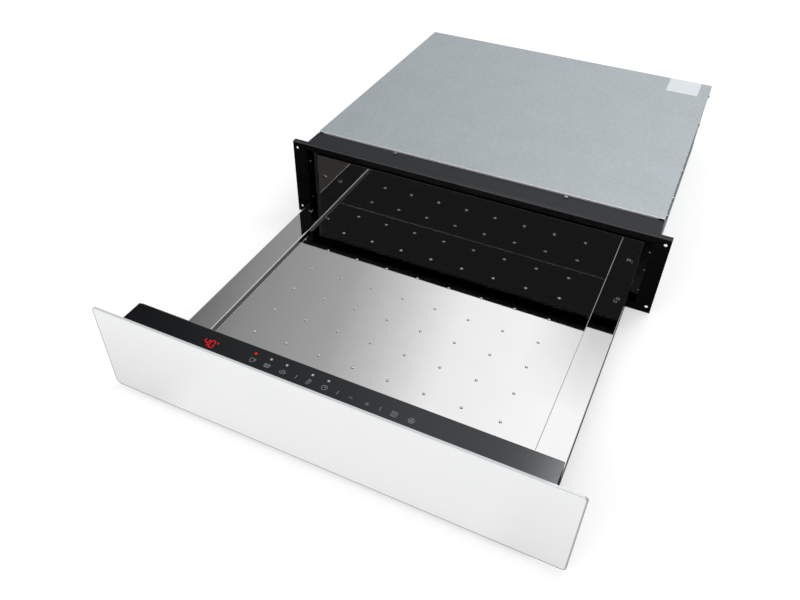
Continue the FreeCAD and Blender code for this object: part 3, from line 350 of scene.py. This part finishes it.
def flange_paint():
    """Black paint with a painted highlight along the upper fold of the flange."""
    low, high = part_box("front_flange")

    def fold(tree):
        above = over(tree, "Z", high.z - FOLD_HIGHLIGHT_WIDTH)
        ahead = under(tree, "Y", low.y + FOLD_HIGHLIGHT_WIDTH)
        return math_of(tree, "MULTIPLY", above, ahead)

    return paint("flange_paint_finish", **BLACK, highlight=fold)


# polished steel: fine streaks from side to side, and on the rear wall edges of these widths
# in metres, that much rougher and painted in these tones as highlight and reflection lines
STREAK = (0.02, 1.0, 1.0)
FINE_STREAK = (0.03, 1.0, 1.0)
WALL_FOOT = 0.0006
WALL_RIM = 0.0014
FOOT_HIGHLIGHT_TONE = shade(206, 200, 194)
END_REFLECTION_TONE = shade(112, 104, 97)
TOP_REFLECTION_TONE = shade(74, 69, 65)
DULLED = 0.28

mirror_colour = cloudy(shade(243, 243, 244), shade(249, 249, 249), size=0.04, detail=4.0)
mirror_roughness = uneven(low=0.012, high=0.045, size=0.0008, detail=3.0, stretch=STREAK)
mirror_wave = rippled(depth=0.00004, size=0.06)


def mirror_surface(tree):
    wave = mirror_wave(tree)
    return bumps(tree, noise(tree, size=0.0006, stretch=FINE_STREAK), depth=0.0000008, below=wave)


def polished_steel():
    return finish("polished_steel_finish", Base_Color=mirror_colour, Metallic=1.0,
                  Roughness=mirror_roughness, Normal=mirror_surface)


def wall_steel():
    """Polished steel whose foot, ends and top are rougher, with a painted highlight line along the
    foot and darker painted reflection lines along the ends and, darkest, the top.
    """
    low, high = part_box("rear_wall")

    def foot(tree):
        return under(tree, "Z", low.z + WALL_FOOT)

    def top(tree):
        return over(tree, "Z", high.z - WALL_RIM)

    def ends(tree):
        return math_of(tree, "GREATER_THAN", off_centre(tree), high.x - WALL_RIM)

    def roughness(tree):
        cut = math_of(tree, "MAXIMUM", foot(tree), math_of(tree, "MAXIMUM", top(tree), ends(tree)))
        return math_of(tree, "ADD", mirror_roughness(tree), math_of(tree, "MULTIPLY", cut, DULLED))

    # painted highlight along the foot, painted reflection lines along the ends and top
    def colour(tree):
        footed = blend_of(tree, foot(tree), mirror_colour(tree), FOOT_HIGHLIGHT_TONE)
        ended = blend_of(tree, ends(tree), footed, END_REFLECTION_TONE)
        return blend_of(tree, top(tree), ended, TOP_REFLECTION_TONE)

    return finish("wall_steel_finish", Base_Color=colour, Metallic=1.0, Roughness=roughness,
                  Normal=mirror_surface)


# plain steel is drawn, so its texture runs along Y
DRAWN = (1.0, 0.15, 1.0)
FINE_DRAWN = (1.0, 0.08, 1.0)


def plain_steel():
    return finish(
        "plain_steel_finish", Metallic=1.0,
        Base_Color=cloudy(shade(186, 188, 192), shade(208, 210, 213), size=0.02, detail=4.0),
        Roughness=uneven(low=0.24, high=0.40, size=0.004, detail=4.0, stretch=DRAWN),
        Normal=rippled(depth=0.000006, size=0.0005, detail=3.0, stretch=FINE_DRAWN),
    )


def bright_steel():
    return finish(
        "bright_steel_finish", Metallic=1.0,
        Base_Color=cloudy(shade(168, 173, 181), shade(192, 197, 205), size=0.004, detail=3.0),
        Roughness=uneven(low=0.09, high=0.17, size=0.002, detail=3.0),
        Normal=rippled(depth=0.000004, size=0.0004),
    )


# white glass: the radius of its corners, and the bands of its ground edge, of the painted shadow
# along its foot and of its top, each from where it is full to where it ends, in metres from the
# outline
GLASS_CORNER = 0.005
GLASS_EDGE = (0.0022, 0.0011)
FOOT_SHADOW_BAND = (0.0009, 0.0017)
GLASS_TOP = (0.0009, 0.0003)
GROUND_TONE = shade(168, 170, 171)
FOOT_SHADOW_TONE = shade(120, 121, 122)
GLASS_TOP_TONE = shade(206, 209, 210)

glass_colour = cloudy(shade(243, 244, 245), shade(247, 247, 248), size=0.08)


def inside_edge(tree, low, high):
    """How far a point of the front lies inside its rounded outline, in metres."""
    point = place(tree)
    reach = []
    for axis, start, end in (("X", low.x, high.x), ("Z", low.z, high.z)):
        from_middle = math_of(tree, "SUBTRACT", axis_of(tree, point, axis), (start + end) / 2)
        outwards = math_of(tree, "ABSOLUTE", from_middle)
        reach.append(math_of(tree, "SUBTRACT", outwards, (end - start) / 2 - GLASS_CORNER))
    beyond = [math_of(tree, "MAXIMUM", value, 0.0) for value in reach]
    squares = [math_of(tree, "MULTIPLY", value, value) for value in beyond]
    round_part = math_of(tree, "SQRT", math_of(tree, "ADD", *squares))
    flat_part = math_of(tree, "MINIMUM", math_of(tree, "MAXIMUM", *reach), 0.0)
    outside = math_of(tree, "ADD", round_part, flat_part)
    return math_of(tree, "SUBTRACT", GLASS_CORNER, outside)


def white_glass():
    """White glass with a ground edge that hardly shows above, and a painted shadow line along its
    foot.
    """
    low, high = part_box("front_glass")

    def colour(tree):
        height = axis_of(tree, place(tree), "Z")
        top_band = spread(tree, height, 0.0, 1.0, high.z - GLASS_TOP[0], high.z - GLASS_TOP[1])
        ground = spread(tree, inside_edge(tree, low, high), 0.0, 1.0, *GLASS_EDGE)
        corners = (high.x - GLASS_CORNER, high.x - GLASS_EDGE[1])
        middle = spread(tree, off_centre(tree), 1.0, 0.0, *corners)
        near_top = math_of(tree, "GREATER_THAN", height, high.z - GLASS_CORNER)
        kept = math_of(tree, "SUBTRACT", 1.0, math_of(tree, "MULTIPLY", middle, near_top))
        edge = math_of(tree, "MULTIPLY", ground, kept)
        edged = blend_of(tree, edge, glass_colour(tree), GROUND_TONE)
        # a painted shadow line along the foot of the glass
        foot = spread(tree, height, 1.0, 0.0, low.z + FOOT_SHADOW_BAND[0], low.z + FOOT_SHADOW_BAND[1])
        footed = blend_of(tree, foot, edged, FOOT_SHADOW_TONE)
        straight_top = math_of(tree, "MULTIPLY", top_band, middle)
        return blend_of(tree, straight_top, footed, GLASS_TOP_TONE)

    return finish("white_glass_finish", Base_Color=colour,
                  Roughness=uneven(low=0.03, high=0.06, size=0.05, detail=3.0),
                  Normal=rippled(depth=0.00002, size=0.12, detail=1.0))


def black_glass():
    return finish(
        "black_glass_finish",
        Base_Color=cloudy(shade(4, 5, 7), shade(7, 8, 10), size=0.03, detail=3.0),
        Roughness=uneven(low=0.16, high=0.20, size=0.02, detail=3.0),
        Normal=rippled(depth=0.000004, size=0.0007),
        IOR=1.62, Specular_Tint=(0.92, 0.96, 1.0, 1.0),
    )


def black_plastic():
    return finish(
        "black_plastic_finish",
        Base_Color=cloudy(shade(30, 30, 31), shade(38, 38, 39), size=0.01, detail=3.0),
        Roughness=uneven(low=0.42, high=0.56, size=0.01, detail=3.0),
        Normal=rippled(depth=0.00002, size=0.0004),
    )


# circuit board: how many tracks fit in a metre, how wide the gaps are, and the tones
TRACKS_PER_METRE = 160.0
TRACK_GAP = 0.06
TRACK_TONES = (shade(18, 92, 48), shade(14, 78, 42))
GAP_TONE = shade(40, 128, 70)


def circuit_board():
    def colour(tree):
        tracks = add(tree, "TexBrick", Vector=place(tree), Scale=TRACKS_PER_METRE,
                     Color1=TRACK_TONES[0], Color2=TRACK_TONES[1], Mortar=GAP_TONE,
                     Mortar_Size=TRACK_GAP)
        return tracks.outputs["Color"]

    return finish("circuit_board_finish", Base_Color=colour,
                  Roughness=uneven(low=0.28, high=0.42, size=0.004, detail=3.0),
                  Normal=rippled(depth=0.00002, size=0.0012))


WINDING_PITCH = 0.0024
WINDING_DEPTH = 0.0002
WINDING_TONES = (shade(96, 48, 22), shade(196, 116, 62))


def copper_winding():
    def turns(tree):
        made = add(tree, "TexWave", {"bands_direction": "Z"}, Vector=place(tree),
                   Scale=1 / WINDING_PITCH)
        return made.outputs["Fac"]

    def colour(tree):
        return blend_of(tree, turns(tree), *WINDING_TONES)

    def surface(tree):
        return bumps(tree, turns(tree), WINDING_DEPTH)

    return finish("copper_finish", Base_Color=colour, Metallic=1.0,
                  Roughness=uneven(low=0.22, high=0.36, size=0.002, detail=3.0), Normal=surface)


def heater_sheath():
    return finish(
        "heater_finish", Metallic=0.9,
        Base_Color=cloudy(shade(112, 104, 98), shade(150, 140, 124), size=0.02, detail=3.0),
        Roughness=uneven(low=0.34, high=0.55, size=0.006, detail=4.0),
        Normal=rippled(depth=0.00001, size=0.0008, detail=3.0),
    )


def label_film():
    return finish(
        "label_finish",
        Base_Color=cloudy(shade(217, 223, 225), shade(225, 231, 233), size=0.01, detail=4.0),
        Roughness=uneven(low=0.40, high=0.52, size=0.006, detail=3.0),
        Normal=rippled(depth=0.00001, size=0.003),
    )


def printed_white():
    return finish(
        "printed_marks",
        Base_Color=cloudy(shade(150, 151, 154), shade(172, 173, 176), size=0.0006),
        Roughness=uneven(low=0.40, high=0.52, size=0.001),
    )


def lit_white():
    return finish(
        "lamp_window",
        Base_Color=cloudy(shade(166, 167, 168), shade(188, 189, 190), size=0.0012),
        Roughness=uneven(low=0.34, high=0.46, size=0.001),
    )


def lit_red():
    colour = cloudy(shade(222, 8, 12), shade(244, 14, 16), size=0.0012)
    return finish("lit_red", Base_Color=colour, Roughness=uneven(low=0.30, high=0.42, size=0.001),
                  Specular_IOR_Level=0.05, Emission_Color=colour, Emission_Strength=0.6)


# each function has the name that the record gives to its material
FINISHES = (
    zinc_sheet, black_paint, polished_steel, plain_steel, bright_steel, white_glass,
    black_glass, black_plastic, circuit_board, copper_winding, heater_sheath, label_film,
)


def dress_nodes():
    """Each node gets the finish that its record names, and four nodes their own."""
    made = {make.__name__: make() for make in FINISHES}
    own = {
        "front_collar": collar_paint(), "front_flange": flange_paint(),
        "rear_wall": wall_steel(), "top_cover": cover_zinc(),
    }
    for name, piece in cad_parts.items():
        for holder in piece.material_slots:
            holder.material = own.get(name, made[holder.material.name])


# marks on the control strip, in millimetres: across from its centre, and back from its front edge
MARK_HEIGHT = 0.06
LINE_WIDTH = 0.42
MARK_ROW = 17.5
LAMP_ROW = 27.9
LAMP_SIZE = 2.7
LAMP_PLACES = (-70.1, -49.7, -16.6, 3.5)
RED_LAMP_PLACE = -90.8
DIVIDER_LENGTH = 5.6
DIVIDER_PLACES = (-31.7, 20.2, 71.5)
SHARPEST_LEAN = 0.5

# the two digits of the display and the small ring beside them, in millimetres
DISPLAY_PLACE = (-148.3, 18.3)
DIGIT_WIDTH = 5.2
DIGIT_HEIGHT = 10.6
DIGIT_PITCH = 7.6
DIGIT_LINE = 0.92
DIGIT_GAP = 0.55 * DIGIT_LINE
DIGIT_SLANT = -0.08
FOUR = ("upper_left", "middle", "upper_right", "lower_right")
ZERO = ("upper_left", "top", "upper_right", "lower_right", "bottom", "lower_left")
DEGREE_PLACE = (-138.5, 21.9)
DEGREE_RADII = (0.55, 1.15)
DEGREE_LINE = 0.5


def arc(centre, radii, angles, steps):
    """Points along part of an oval, from one angle to another in degrees."""
    start, end = angles
    points = []
    for step in range(steps + 1):
        angle = math.radians(start + (end - start) * step / steps)
        across = centre[0] + radii[0] * math.cos(angle)
        back = centre[1] + radii[1] * math.sin(angle)
        points.append((across, back))
    return points


def side_points(points, half_width, closed):
    """The left and right edges of a line of that half width through the points."""
    count = len(points)
    left, right = [], []
    for index, point in enumerate(points):
        before = points[index - 1] if closed or index > 0 else point
        after = points[(index + 1) % count] if closed or index < count - 1 else point
        arrive = (Vector(point) - Vector(before)).normalized()
        leave = (Vector(after) - Vector(point)).normalized()
        along = (arrive + leave).normalized()
        square = Vector((-along.y, along.x))
        lean = square.dot(Vector((-leave.y, leave.x))) if leave.length else 1.0
        reach = square * half_width / max(SHARPEST_LEAN, lean)
        left.append(Vector(point) + reach)
        right.append(Vector(point) - reach)
    return left, right


def join_rings(mesh, first, second):
    """A band of faces between two rings of as many corners."""
    count = len(first)
    for index in range(count):
        other = (index + 1) % count
        mesh.faces.new((first[index], first[other], second[other], second[index]))


def join_along(mesh, rings, closed=False):
    """A tube through the rings, capped at both ends unless it closes on itself."""
    for first, second in zip(rings, rings[1:]):
        join_rings(mesh, first, second)
    if closed:
        join_rings(mesh, rings[-1], rings[0])
    else:
        mesh.faces.new(rings[0][::-1])
        mesh.faces.new(rings[-1])


def draw_line(mesh, points, origin, width=LINE_WIDTH, closed=False):
    """A thin raised line through the points, all in millimetres, from an origin in metres."""
    rings = []
    for left, right in zip(*side_points(points, width / 2, closed)):
        corners = ((left, 0.0), (right, 0.0), (right, MARK_HEIGHT), (left, MARK_HEIGHT))
        rings.append([
            mesh.verts.new((origin[0] + p.x * MM, origin[1] + p.y * MM, origin[2] + z * MM))
            for p, z in corners
        ])
    join_along(mesh, rings, closed)


def draw_square(mesh, origin, size):
    draw_line(mesh, [(-size / 2, 0.0), (size / 2, 0.0)], origin, size)


# each symbol as a list of lines around its own middle: points, and whether the line closes
def cup_lines():
    rim = 2.6
    bowl = arc(centre=(-0.5, -0.4), radii=(2.4, 2.6), angles=(190, 350), steps=12)
    handle = arc(centre=(2.0, 0.9), radii=(1.9, 1.7), angles=(80, -95), steps=10)
    return [([(-3.1, rim), *bowl, (2.1, rim)], True), (handle, False)]


def plates_lines():
    half, top = 3.7, 2.3
    stack = [
        arc(centre=(0.0, rise), radii=(half, 1.3), angles=(180, 360), steps=12)
        for rise in (-0.9, 0.5, 1.9)
    ]
    rim = [(-half, top), (half, top)]
    posts = [[(x, -3.4), (x, -2.5)] for x in (-1.4, 1.4)]
    return [(points, False) for points in (*stack, rim, *posts)]


def dish_lines():
    bowl = arc(centre=(0.0, -0.4), radii=(3.7, 2.7), angles=(180, 360), steps=14)
    steam = [
        arc(centre=(x, 1.5), radii=(0.5, 1.5), angles=(-90, 90), steps=8) for x in (-1.5, 0.9)
    ]
    return [(bowl, True)] + [(points, False) for points in steam]


def thermometer_lines():
    tube = arc(centre=(0.0, 2.6), radii=(0.9, 0.9), angles=(180, 0), steps=8)
    bulb = arc(centre=(0.0, -2.2), radii=(1.7, 1.7), angles=(60, -240), steps=18)
    ticks = [[(1.9, y), (3.0, y)] for y in (0.0, 1.4, 2.8)]
    return [(tube + bulb, True)] + [(points, False) for points in ticks]


def large_ring():
    return arc(centre=(0.0, 0.0), radii=(3.2, 3.2), angles=(0, 350), steps=28)


def clock_lines():
    hands = [(0.0, 2.1), (0.0, 0.0), (1.5, 0.5)]
    return [(large_ring(), True), (hands, False)]


def minus_lines():
    half = 2.4
    return [([(-half, 0.0), (half, 0.0)], False)]


def plus_lines():
    half = 2.4
    return minus_lines() + [([(0.0, -half), (0.0, half)], False)]


def box_lines():
    half, turn = 3.1, 0.8
    outline = []
    for quarter, (side_x, side_y) in enumerate(((1, 1), (-1, 1), (-1, -1), (1, -1))):
        centre = (side_x * (half - turn), side_y * (half - turn))
        angles = (90 * quarter, 90 * quarter + 90)
        outline += arc(centre, radii=(turn, turn), angles=angles, steps=4)
    ring = arc(centre=(0.0, 0.0), radii=(1.5, 1.5), angles=(0, 340), steps=16)
    return [(outline, True), (ring, True)]


def ring_lines():
    peak = [(-1.5, -1.2), (0.0, 1.6), (1.5, -1.2)]
    return [(large_ring(), True), (peak, True)]


SYMBOLS = (
    (-89.0, cup_lines), (-69.6, plates_lines), (-48.8, dish_lines),
    (-16.2, thermometer_lines), (3.9, clock_lines), (36.2, minus_lines),
    (55.8, plus_lines), (87.7, box_lines), (107.5, ring_lines),
)


def digit_bars():
    """The seven bars of a display digit, each from one end to the other."""
    side, half = DIGIT_WIDTH / 2, DIGIT_HEIGHT / 2
    gap = DIGIT_GAP
    return {
        "top": ((-side + gap, half), (side - gap, half)),
        "middle": ((-side + gap, 0.0), (side - gap, 0.0)),
        "bottom": ((-side + gap, -half), (side - gap, -half)),
        "upper_left": ((-side, gap), (-side, half - gap)),
        "upper_right": ((side, gap), (side, half - gap)),
        "lower_left": ((-side, gap - half), (-side, -gap)),
        "lower_right": ((side, gap - half), (side, -gap)),
    }


def strip_origin(across, back):
    """A place on top of the control strip, in metres."""
    low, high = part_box("control_panel")
    return ((low.x + high.x) / 2 + across * MM, low.y + back * MM, high.z)


def object_of(mesh, name, finish_made):
    """A finished mesh as an object of that name and finish, linked to the scene."""
    data = bpy.data.meshes.new(name)
    mesh.to_mesh(data)
    mesh.free()
    data.materials.append(finish_made)
    made = bpy.data.objects.new(name, data)
    bpy.context.scene.collection.objects.link(made)
    return made


def piece_of(mesh, name, finish_made, body):
    """A piece that rides on a body and takes its finish from a slot."""
    bmesh.ops.recalc_face_normals(mesh, faces=mesh.faces)
    piece = object_of(mesh, name, finish_made)
    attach(piece, body)
    return piece


def control_marks():
    mesh = bmesh.new()
    for across, lines in SYMBOLS:
        for points, closed in lines():
            draw_line(mesh, points, strip_origin(across, MARK_ROW), closed=closed)
    half = DIVIDER_LENGTH / 2
    for across in DIVIDER_PLACES:
        draw_line(mesh, [(0.0, -half), (0.0, half)], strip_origin(across, MARK_ROW))
    piece_of(mesh, "control_marks", printed_white(), "drawer")


def lamp_windows():
    mesh = bmesh.new()
    for across in LAMP_PLACES:
        draw_square(mesh, strip_origin(across, LAMP_ROW), LAMP_SIZE)
    piece_of(mesh, "lamp_windows", lit_white(), "drawer")


def display_digits():
    """The red digits, their small ring, and the one red indicator square."""
    mesh = bmesh.new()
    bars = digit_bars()
    for side, names in ((-0.5, FOUR), (0.5, ZERO)):
        origin = strip_origin(DISPLAY_PLACE[0] + side * DIGIT_PITCH, DISPLAY_PLACE[1])
        for name in names:
            points = [(x + y * DIGIT_SLANT, y) for x, y in bars[name]]
            draw_line(mesh, points, origin, DIGIT_LINE)
    degree = arc(centre=(0.0, 0.0), radii=DEGREE_RADII, angles=(0, 330), steps=12)
    draw_line(mesh, degree, strip_origin(*DEGREE_PLACE), DEGREE_LINE, closed=True)
    draw_square(mesh, strip_origin(RED_LAMP_PLACE, LAMP_ROW), LAMP_SIZE)
    piece_of(mesh, "display_digits", lit_red(), "drawer")


# latch spring: its wire's radius in metres, its turns, and the rings per turn and sides per ring of
# its mesh
SPRING_WIRE = 0.0005
SPRING_TURNS = 5
SPRING_STEPS = 32
SPRING_SIDES = 12


def spring_rings(mesh, low, high):
    """The rings of a coiled wire between two corners of a box, its axis along Y."""
    coil = (high.x - low.x) / 2 - SPRING_WIRE
    rise = high.y - low.y - 2 * SPRING_WIRE
    slope = rise / (2 * math.pi * SPRING_TURNS * coil)
    middle = Vector(((low.x + high.x) / 2, low.y + SPRING_WIRE, (low.z + high.z) / 2))
    steps = SPRING_TURNS * SPRING_STEPS
    rings = []
    for step in range(steps + 1):
        angle = 2 * math.pi * step / SPRING_STEPS
        outwards = Vector((math.cos(angle), 0.0, math.sin(angle)))
        ahead = Vector((-math.sin(angle), slope, math.cos(angle)))
        across = ahead.normalized().cross(outwards)
        centre = middle + outwards * coil + Vector((0.0, rise * step / steps, 0.0))
        ring = []
        for side in range(SPRING_SIDES):
            turn = 2 * math.pi * side / SPRING_SIDES
            away = outwards * math.cos(turn) + across * math.sin(turn)
            ring.append(mesh.verts.new(centre + SPRING_WIRE * away))
        rings.append(ring)
    return rings


def latch_coil():
    """The latch spring, a coiled wire between the corners of its box."""
    low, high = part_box("latch_spring")
    mesh = bmesh.new()
    join_along(mesh, spring_rings(mesh, low, high))
    piece = piece_of(mesh, "latch_coil", bright_steel(), "casing")
    # the sides of the wire are smooth, and its two ends flat
    for face in piece.data.polygons:
        face.use_smooth = len(face.vertices) == 4
    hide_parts("latch_spring")
    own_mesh(piece)


def seen_directly(tree):
    """1 for rays from the camera, from a gloss or through glass, and 0 for soft light."""
    path = add(tree, "LightPath").outputs
    total = math_of(tree, "ADD", path["Is Camera Ray"], path["Is Glossy Ray"])
    return math_of(tree, "ADD", total, path["Is Transmission Ray"], clamp=True)


# the darker floor's tone on the object's left and on its right
SHADED_TONES = (shade(50, 47, 44), shade(68, 62, 59))


def shaded_floor(tree):
    """Where mirrors see a darker floor beside the object, and its tone on either side."""
    where = place(tree)
    across = axis_of(tree, where, "X")
    side = plateau(tree, math_of(tree, "ABSOLUTE", across), *SHADED_SIDE)
    depth = plateau(tree, axis_of(tree, where, "Y"), *SHADED_DEPTH)
    mirrored = add(tree, "LightPath").outputs["Is Glossy Ray"]
    share = math_of(tree, "MULTIPLY", math_of(tree, "MULTIPLY", side, depth), mirrored)
    on_right = math_of(tree, "GREATER_THAN", across, 0.0)
    return share, blend_of(tree, on_right, *SHADED_TONES)


def floor_finish():
    """White paper that shows as bright as the background, and keeps the object's shadow."""
    made = bpy.data.materials.new("floor_finish")
    made.cycles.emission_sampling = "NONE"
    tree = empty_tree(made)
    paper = add(tree, "BsdfDiffuse", Color=grey(FLOOR_WHITE))
    distance = add(tree, "VectorMath", {"operation": "LENGTH"}, Vector=place(tree))
    strength = spread(tree, distance.outputs["Value"], FLOOR_LIFT, FAR_LIFT, *FAR_FLOOR)
    lift = math_of(tree, "MULTIPLY", seen_directly(tree), strength)
    glow = add(tree, "Emission", Strength=lift)
    both = add(tree, "AddShader")
    tree.links.new(paper.outputs[0], both.inputs[0])
    tree.links.new(glow.outputs[0], both.inputs[1])
    share, tone = shaded_floor(tree)
    shaded = add(tree, "Emission", Color=tone)
    chosen = add(tree, "MixShader", Fac=share)
    tree.links.new(both.outputs[0], chosen.inputs[1])
    tree.links.new(shaded.outputs[0], chosen.inputs[2])
    add(tree, "OutputMaterial", Surface=chosen.outputs[0])
    return made


def studio_floor():
    mesh = bmesh.new()
    bmesh.ops.create_circle(mesh, cap_ends=True, radius=FLOOR_SIZE / 2, segments=FLOOR_SIDES)
    floor = object_of(mesh, "studio_floor", floor_finish())
    floor.location = ((cad_low.x + cad_high.x) / 2, (cad_low.y + cad_high.y) / 2, cad_low.z)


def bands(tree, value, levels):
    """A value from -1 to 1, mapped through a row of places and levels."""
    made = add(tree, "ValToRGB", Fac=spread(tree, value, 0.0, 1.0, -1.0, 1.0))
    stops = made.color_ramp.elements
    stops[0].position = 0.0
    stops[-1].position = 1.0
    for where, _ in levels[1:-1]:
        stops.new((where + 1) / 2)
    for stop, (_, level) in zip(stops, levels):
        stop.color = grey(level)
    return made.outputs["Color"]


def mirrored_sky(tree):
    """How light the studio looks in a mirror: bands from side to side, a dark patch in front, and
    less light towards the back."""
    direction = add(tree, "TexCoord").outputs["Generated"]
    across = axis_of(tree, direction, "X")
    back = axis_of(tree, direction, "Y")
    front = spread(tree, back, 1.0, 0.0, *DARK_FRONT)
    dark = math_of(tree, "MULTIPLY", front, plateau(tree, across, *DARK_SIDE))
    at_back = spread(tree, back, 0.0, DIM_LOSS, *DIM_BACK)
    loss = math_of(tree, "MULTIPLY", plateau(tree, across, *DIM_SIDE), at_back)
    kept = math_of(tree, "SUBTRACT", 1.0, loss)
    dimmed = add(tree, "VectorMath", {"operation": "SCALE"},
                 Vector=bands(tree, across, SKY_BANDS), Scale=kept)
    high = blend_of(tree, dark, dimmed.outputs["Vector"], grey(SKY_DARK))
    share = spread(tree, axis_of(tree, direction, "Z"), 0.0, 1.0, *LOW_HEIGHT)
    return blend_of(tree, share, bands(tree, across, LOW_BANDS), high)


def studio_sky():
    """White all round for the camera, soft for matt surfaces, and uneven for gloss."""
    world = bpy.data.worlds.new("studio")
    bpy.context.scene.world = world
    tree = empty_tree(world)
    world.cycles.sampling_method = "NONE"
    gloss = mirrored_sky(tree)
    path = add(tree, "LightPath").outputs
    plain = math_of(tree, "ADD", path["Is Camera Ray"], path["Is Transmission Ray"], clamp=True)
    level = math_of(tree, "MULTIPLY", path["Is Glossy Ray"], gloss)
    soft = math_of(tree, "MULTIPLY", path["Is Diffuse Ray"], AMBIENT)
    strength = math_of(tree, "ADD", math_of(tree, "ADD", plain, level), soft)
    sky = add(tree, "Background", Color=WHITE, Strength=strength)
    add(tree, "OutputWorld", Surface=sky.outputs[0])


def spare_mirrors(lamp):
    """Keeps a lamp's own outline out of the polished steel, which mirrors the sky alone."""
    spared = bpy.data.collections.new(lamp.name + "_spares")
    for name in POLISHED_NODES:
        spared.objects.link(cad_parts[name])
    for member in spared.collection_objects:
        member.light_linking.link_state = "EXCLUDE"
    lamp.light_linking.receiver_collection = spared


def softbox(name, place_at, aim, width, depth, power, in_gloss):
    """A lamp that the camera doesn't see, with places and sizes in metres and power in watts."""
    light = bpy.data.lights.new(name, "AREA")
    light.shape = "RECTANGLE"
    light.size = width
    light.size_y = depth
    light.energy = power
    lamp = bpy.data.objects.new(name, light)
    lamp.location = place_at
    lamp.rotation_euler = (Vector(aim) - Vector(place_at)).to_track_quat("-Z", "Y").to_euler()
    lamp.visible_camera = False
    lamp.visible_glossy = in_gloss
    bpy.context.scene.collection.objects.link(lamp)
    spare_mirrors(lamp)


def studio_lights():
    softbox("top_softbox", place_at=(0.62, 1.0, 2.15), aim=(0.62, 1.0, 0.0),
            width=1.0, depth=0.8, power=12.4, in_gloss=True)
    softbox("rear_softbox", place_at=(1.1, 2.4, 1.9), aim=(0.1, 0.0, 0.1),
            width=1.6, depth=1.2, power=10.0, in_gloss=False)
    softbox("front_softbox", place_at=(-0.3, -2.6, 1.5), aim=(0.0, -0.4, 0.1),
            width=2.4, depth=1.6, power=29.0, in_gloss=False)


def turned(degrees, axis):
    return Matrix.Rotation(math.radians(degrees), 3, axis)


def photo_camera():
    data = bpy.data.cameras.new("camera")
    data.lens = CAMERA_LENS
    data.sensor_fit = "HORIZONTAL"
    data.sensor_width = CAMERA_SENSOR
    camera = bpy.data.objects.new("camera", data)
    camera.location = CAMERA_PLACE
    pose = turned(CAMERA_YAW, "Z") @ turned(90 - CAMERA_PITCH, "X") @ turned(CAMERA_ROLL, "Z")
    camera.rotation_euler = pose.to_euler()
    bpy.context.scene.collection.objects.link(camera)
    bpy.context.scene.camera = camera


photo_camera()
dress_nodes()
control_marks()
lamp_windows()
display_digits()
latch_coil()
studio_floor()
studio_sky()
studio_lights()
bpy.context.scene.view_settings.view_transform = "Standard"
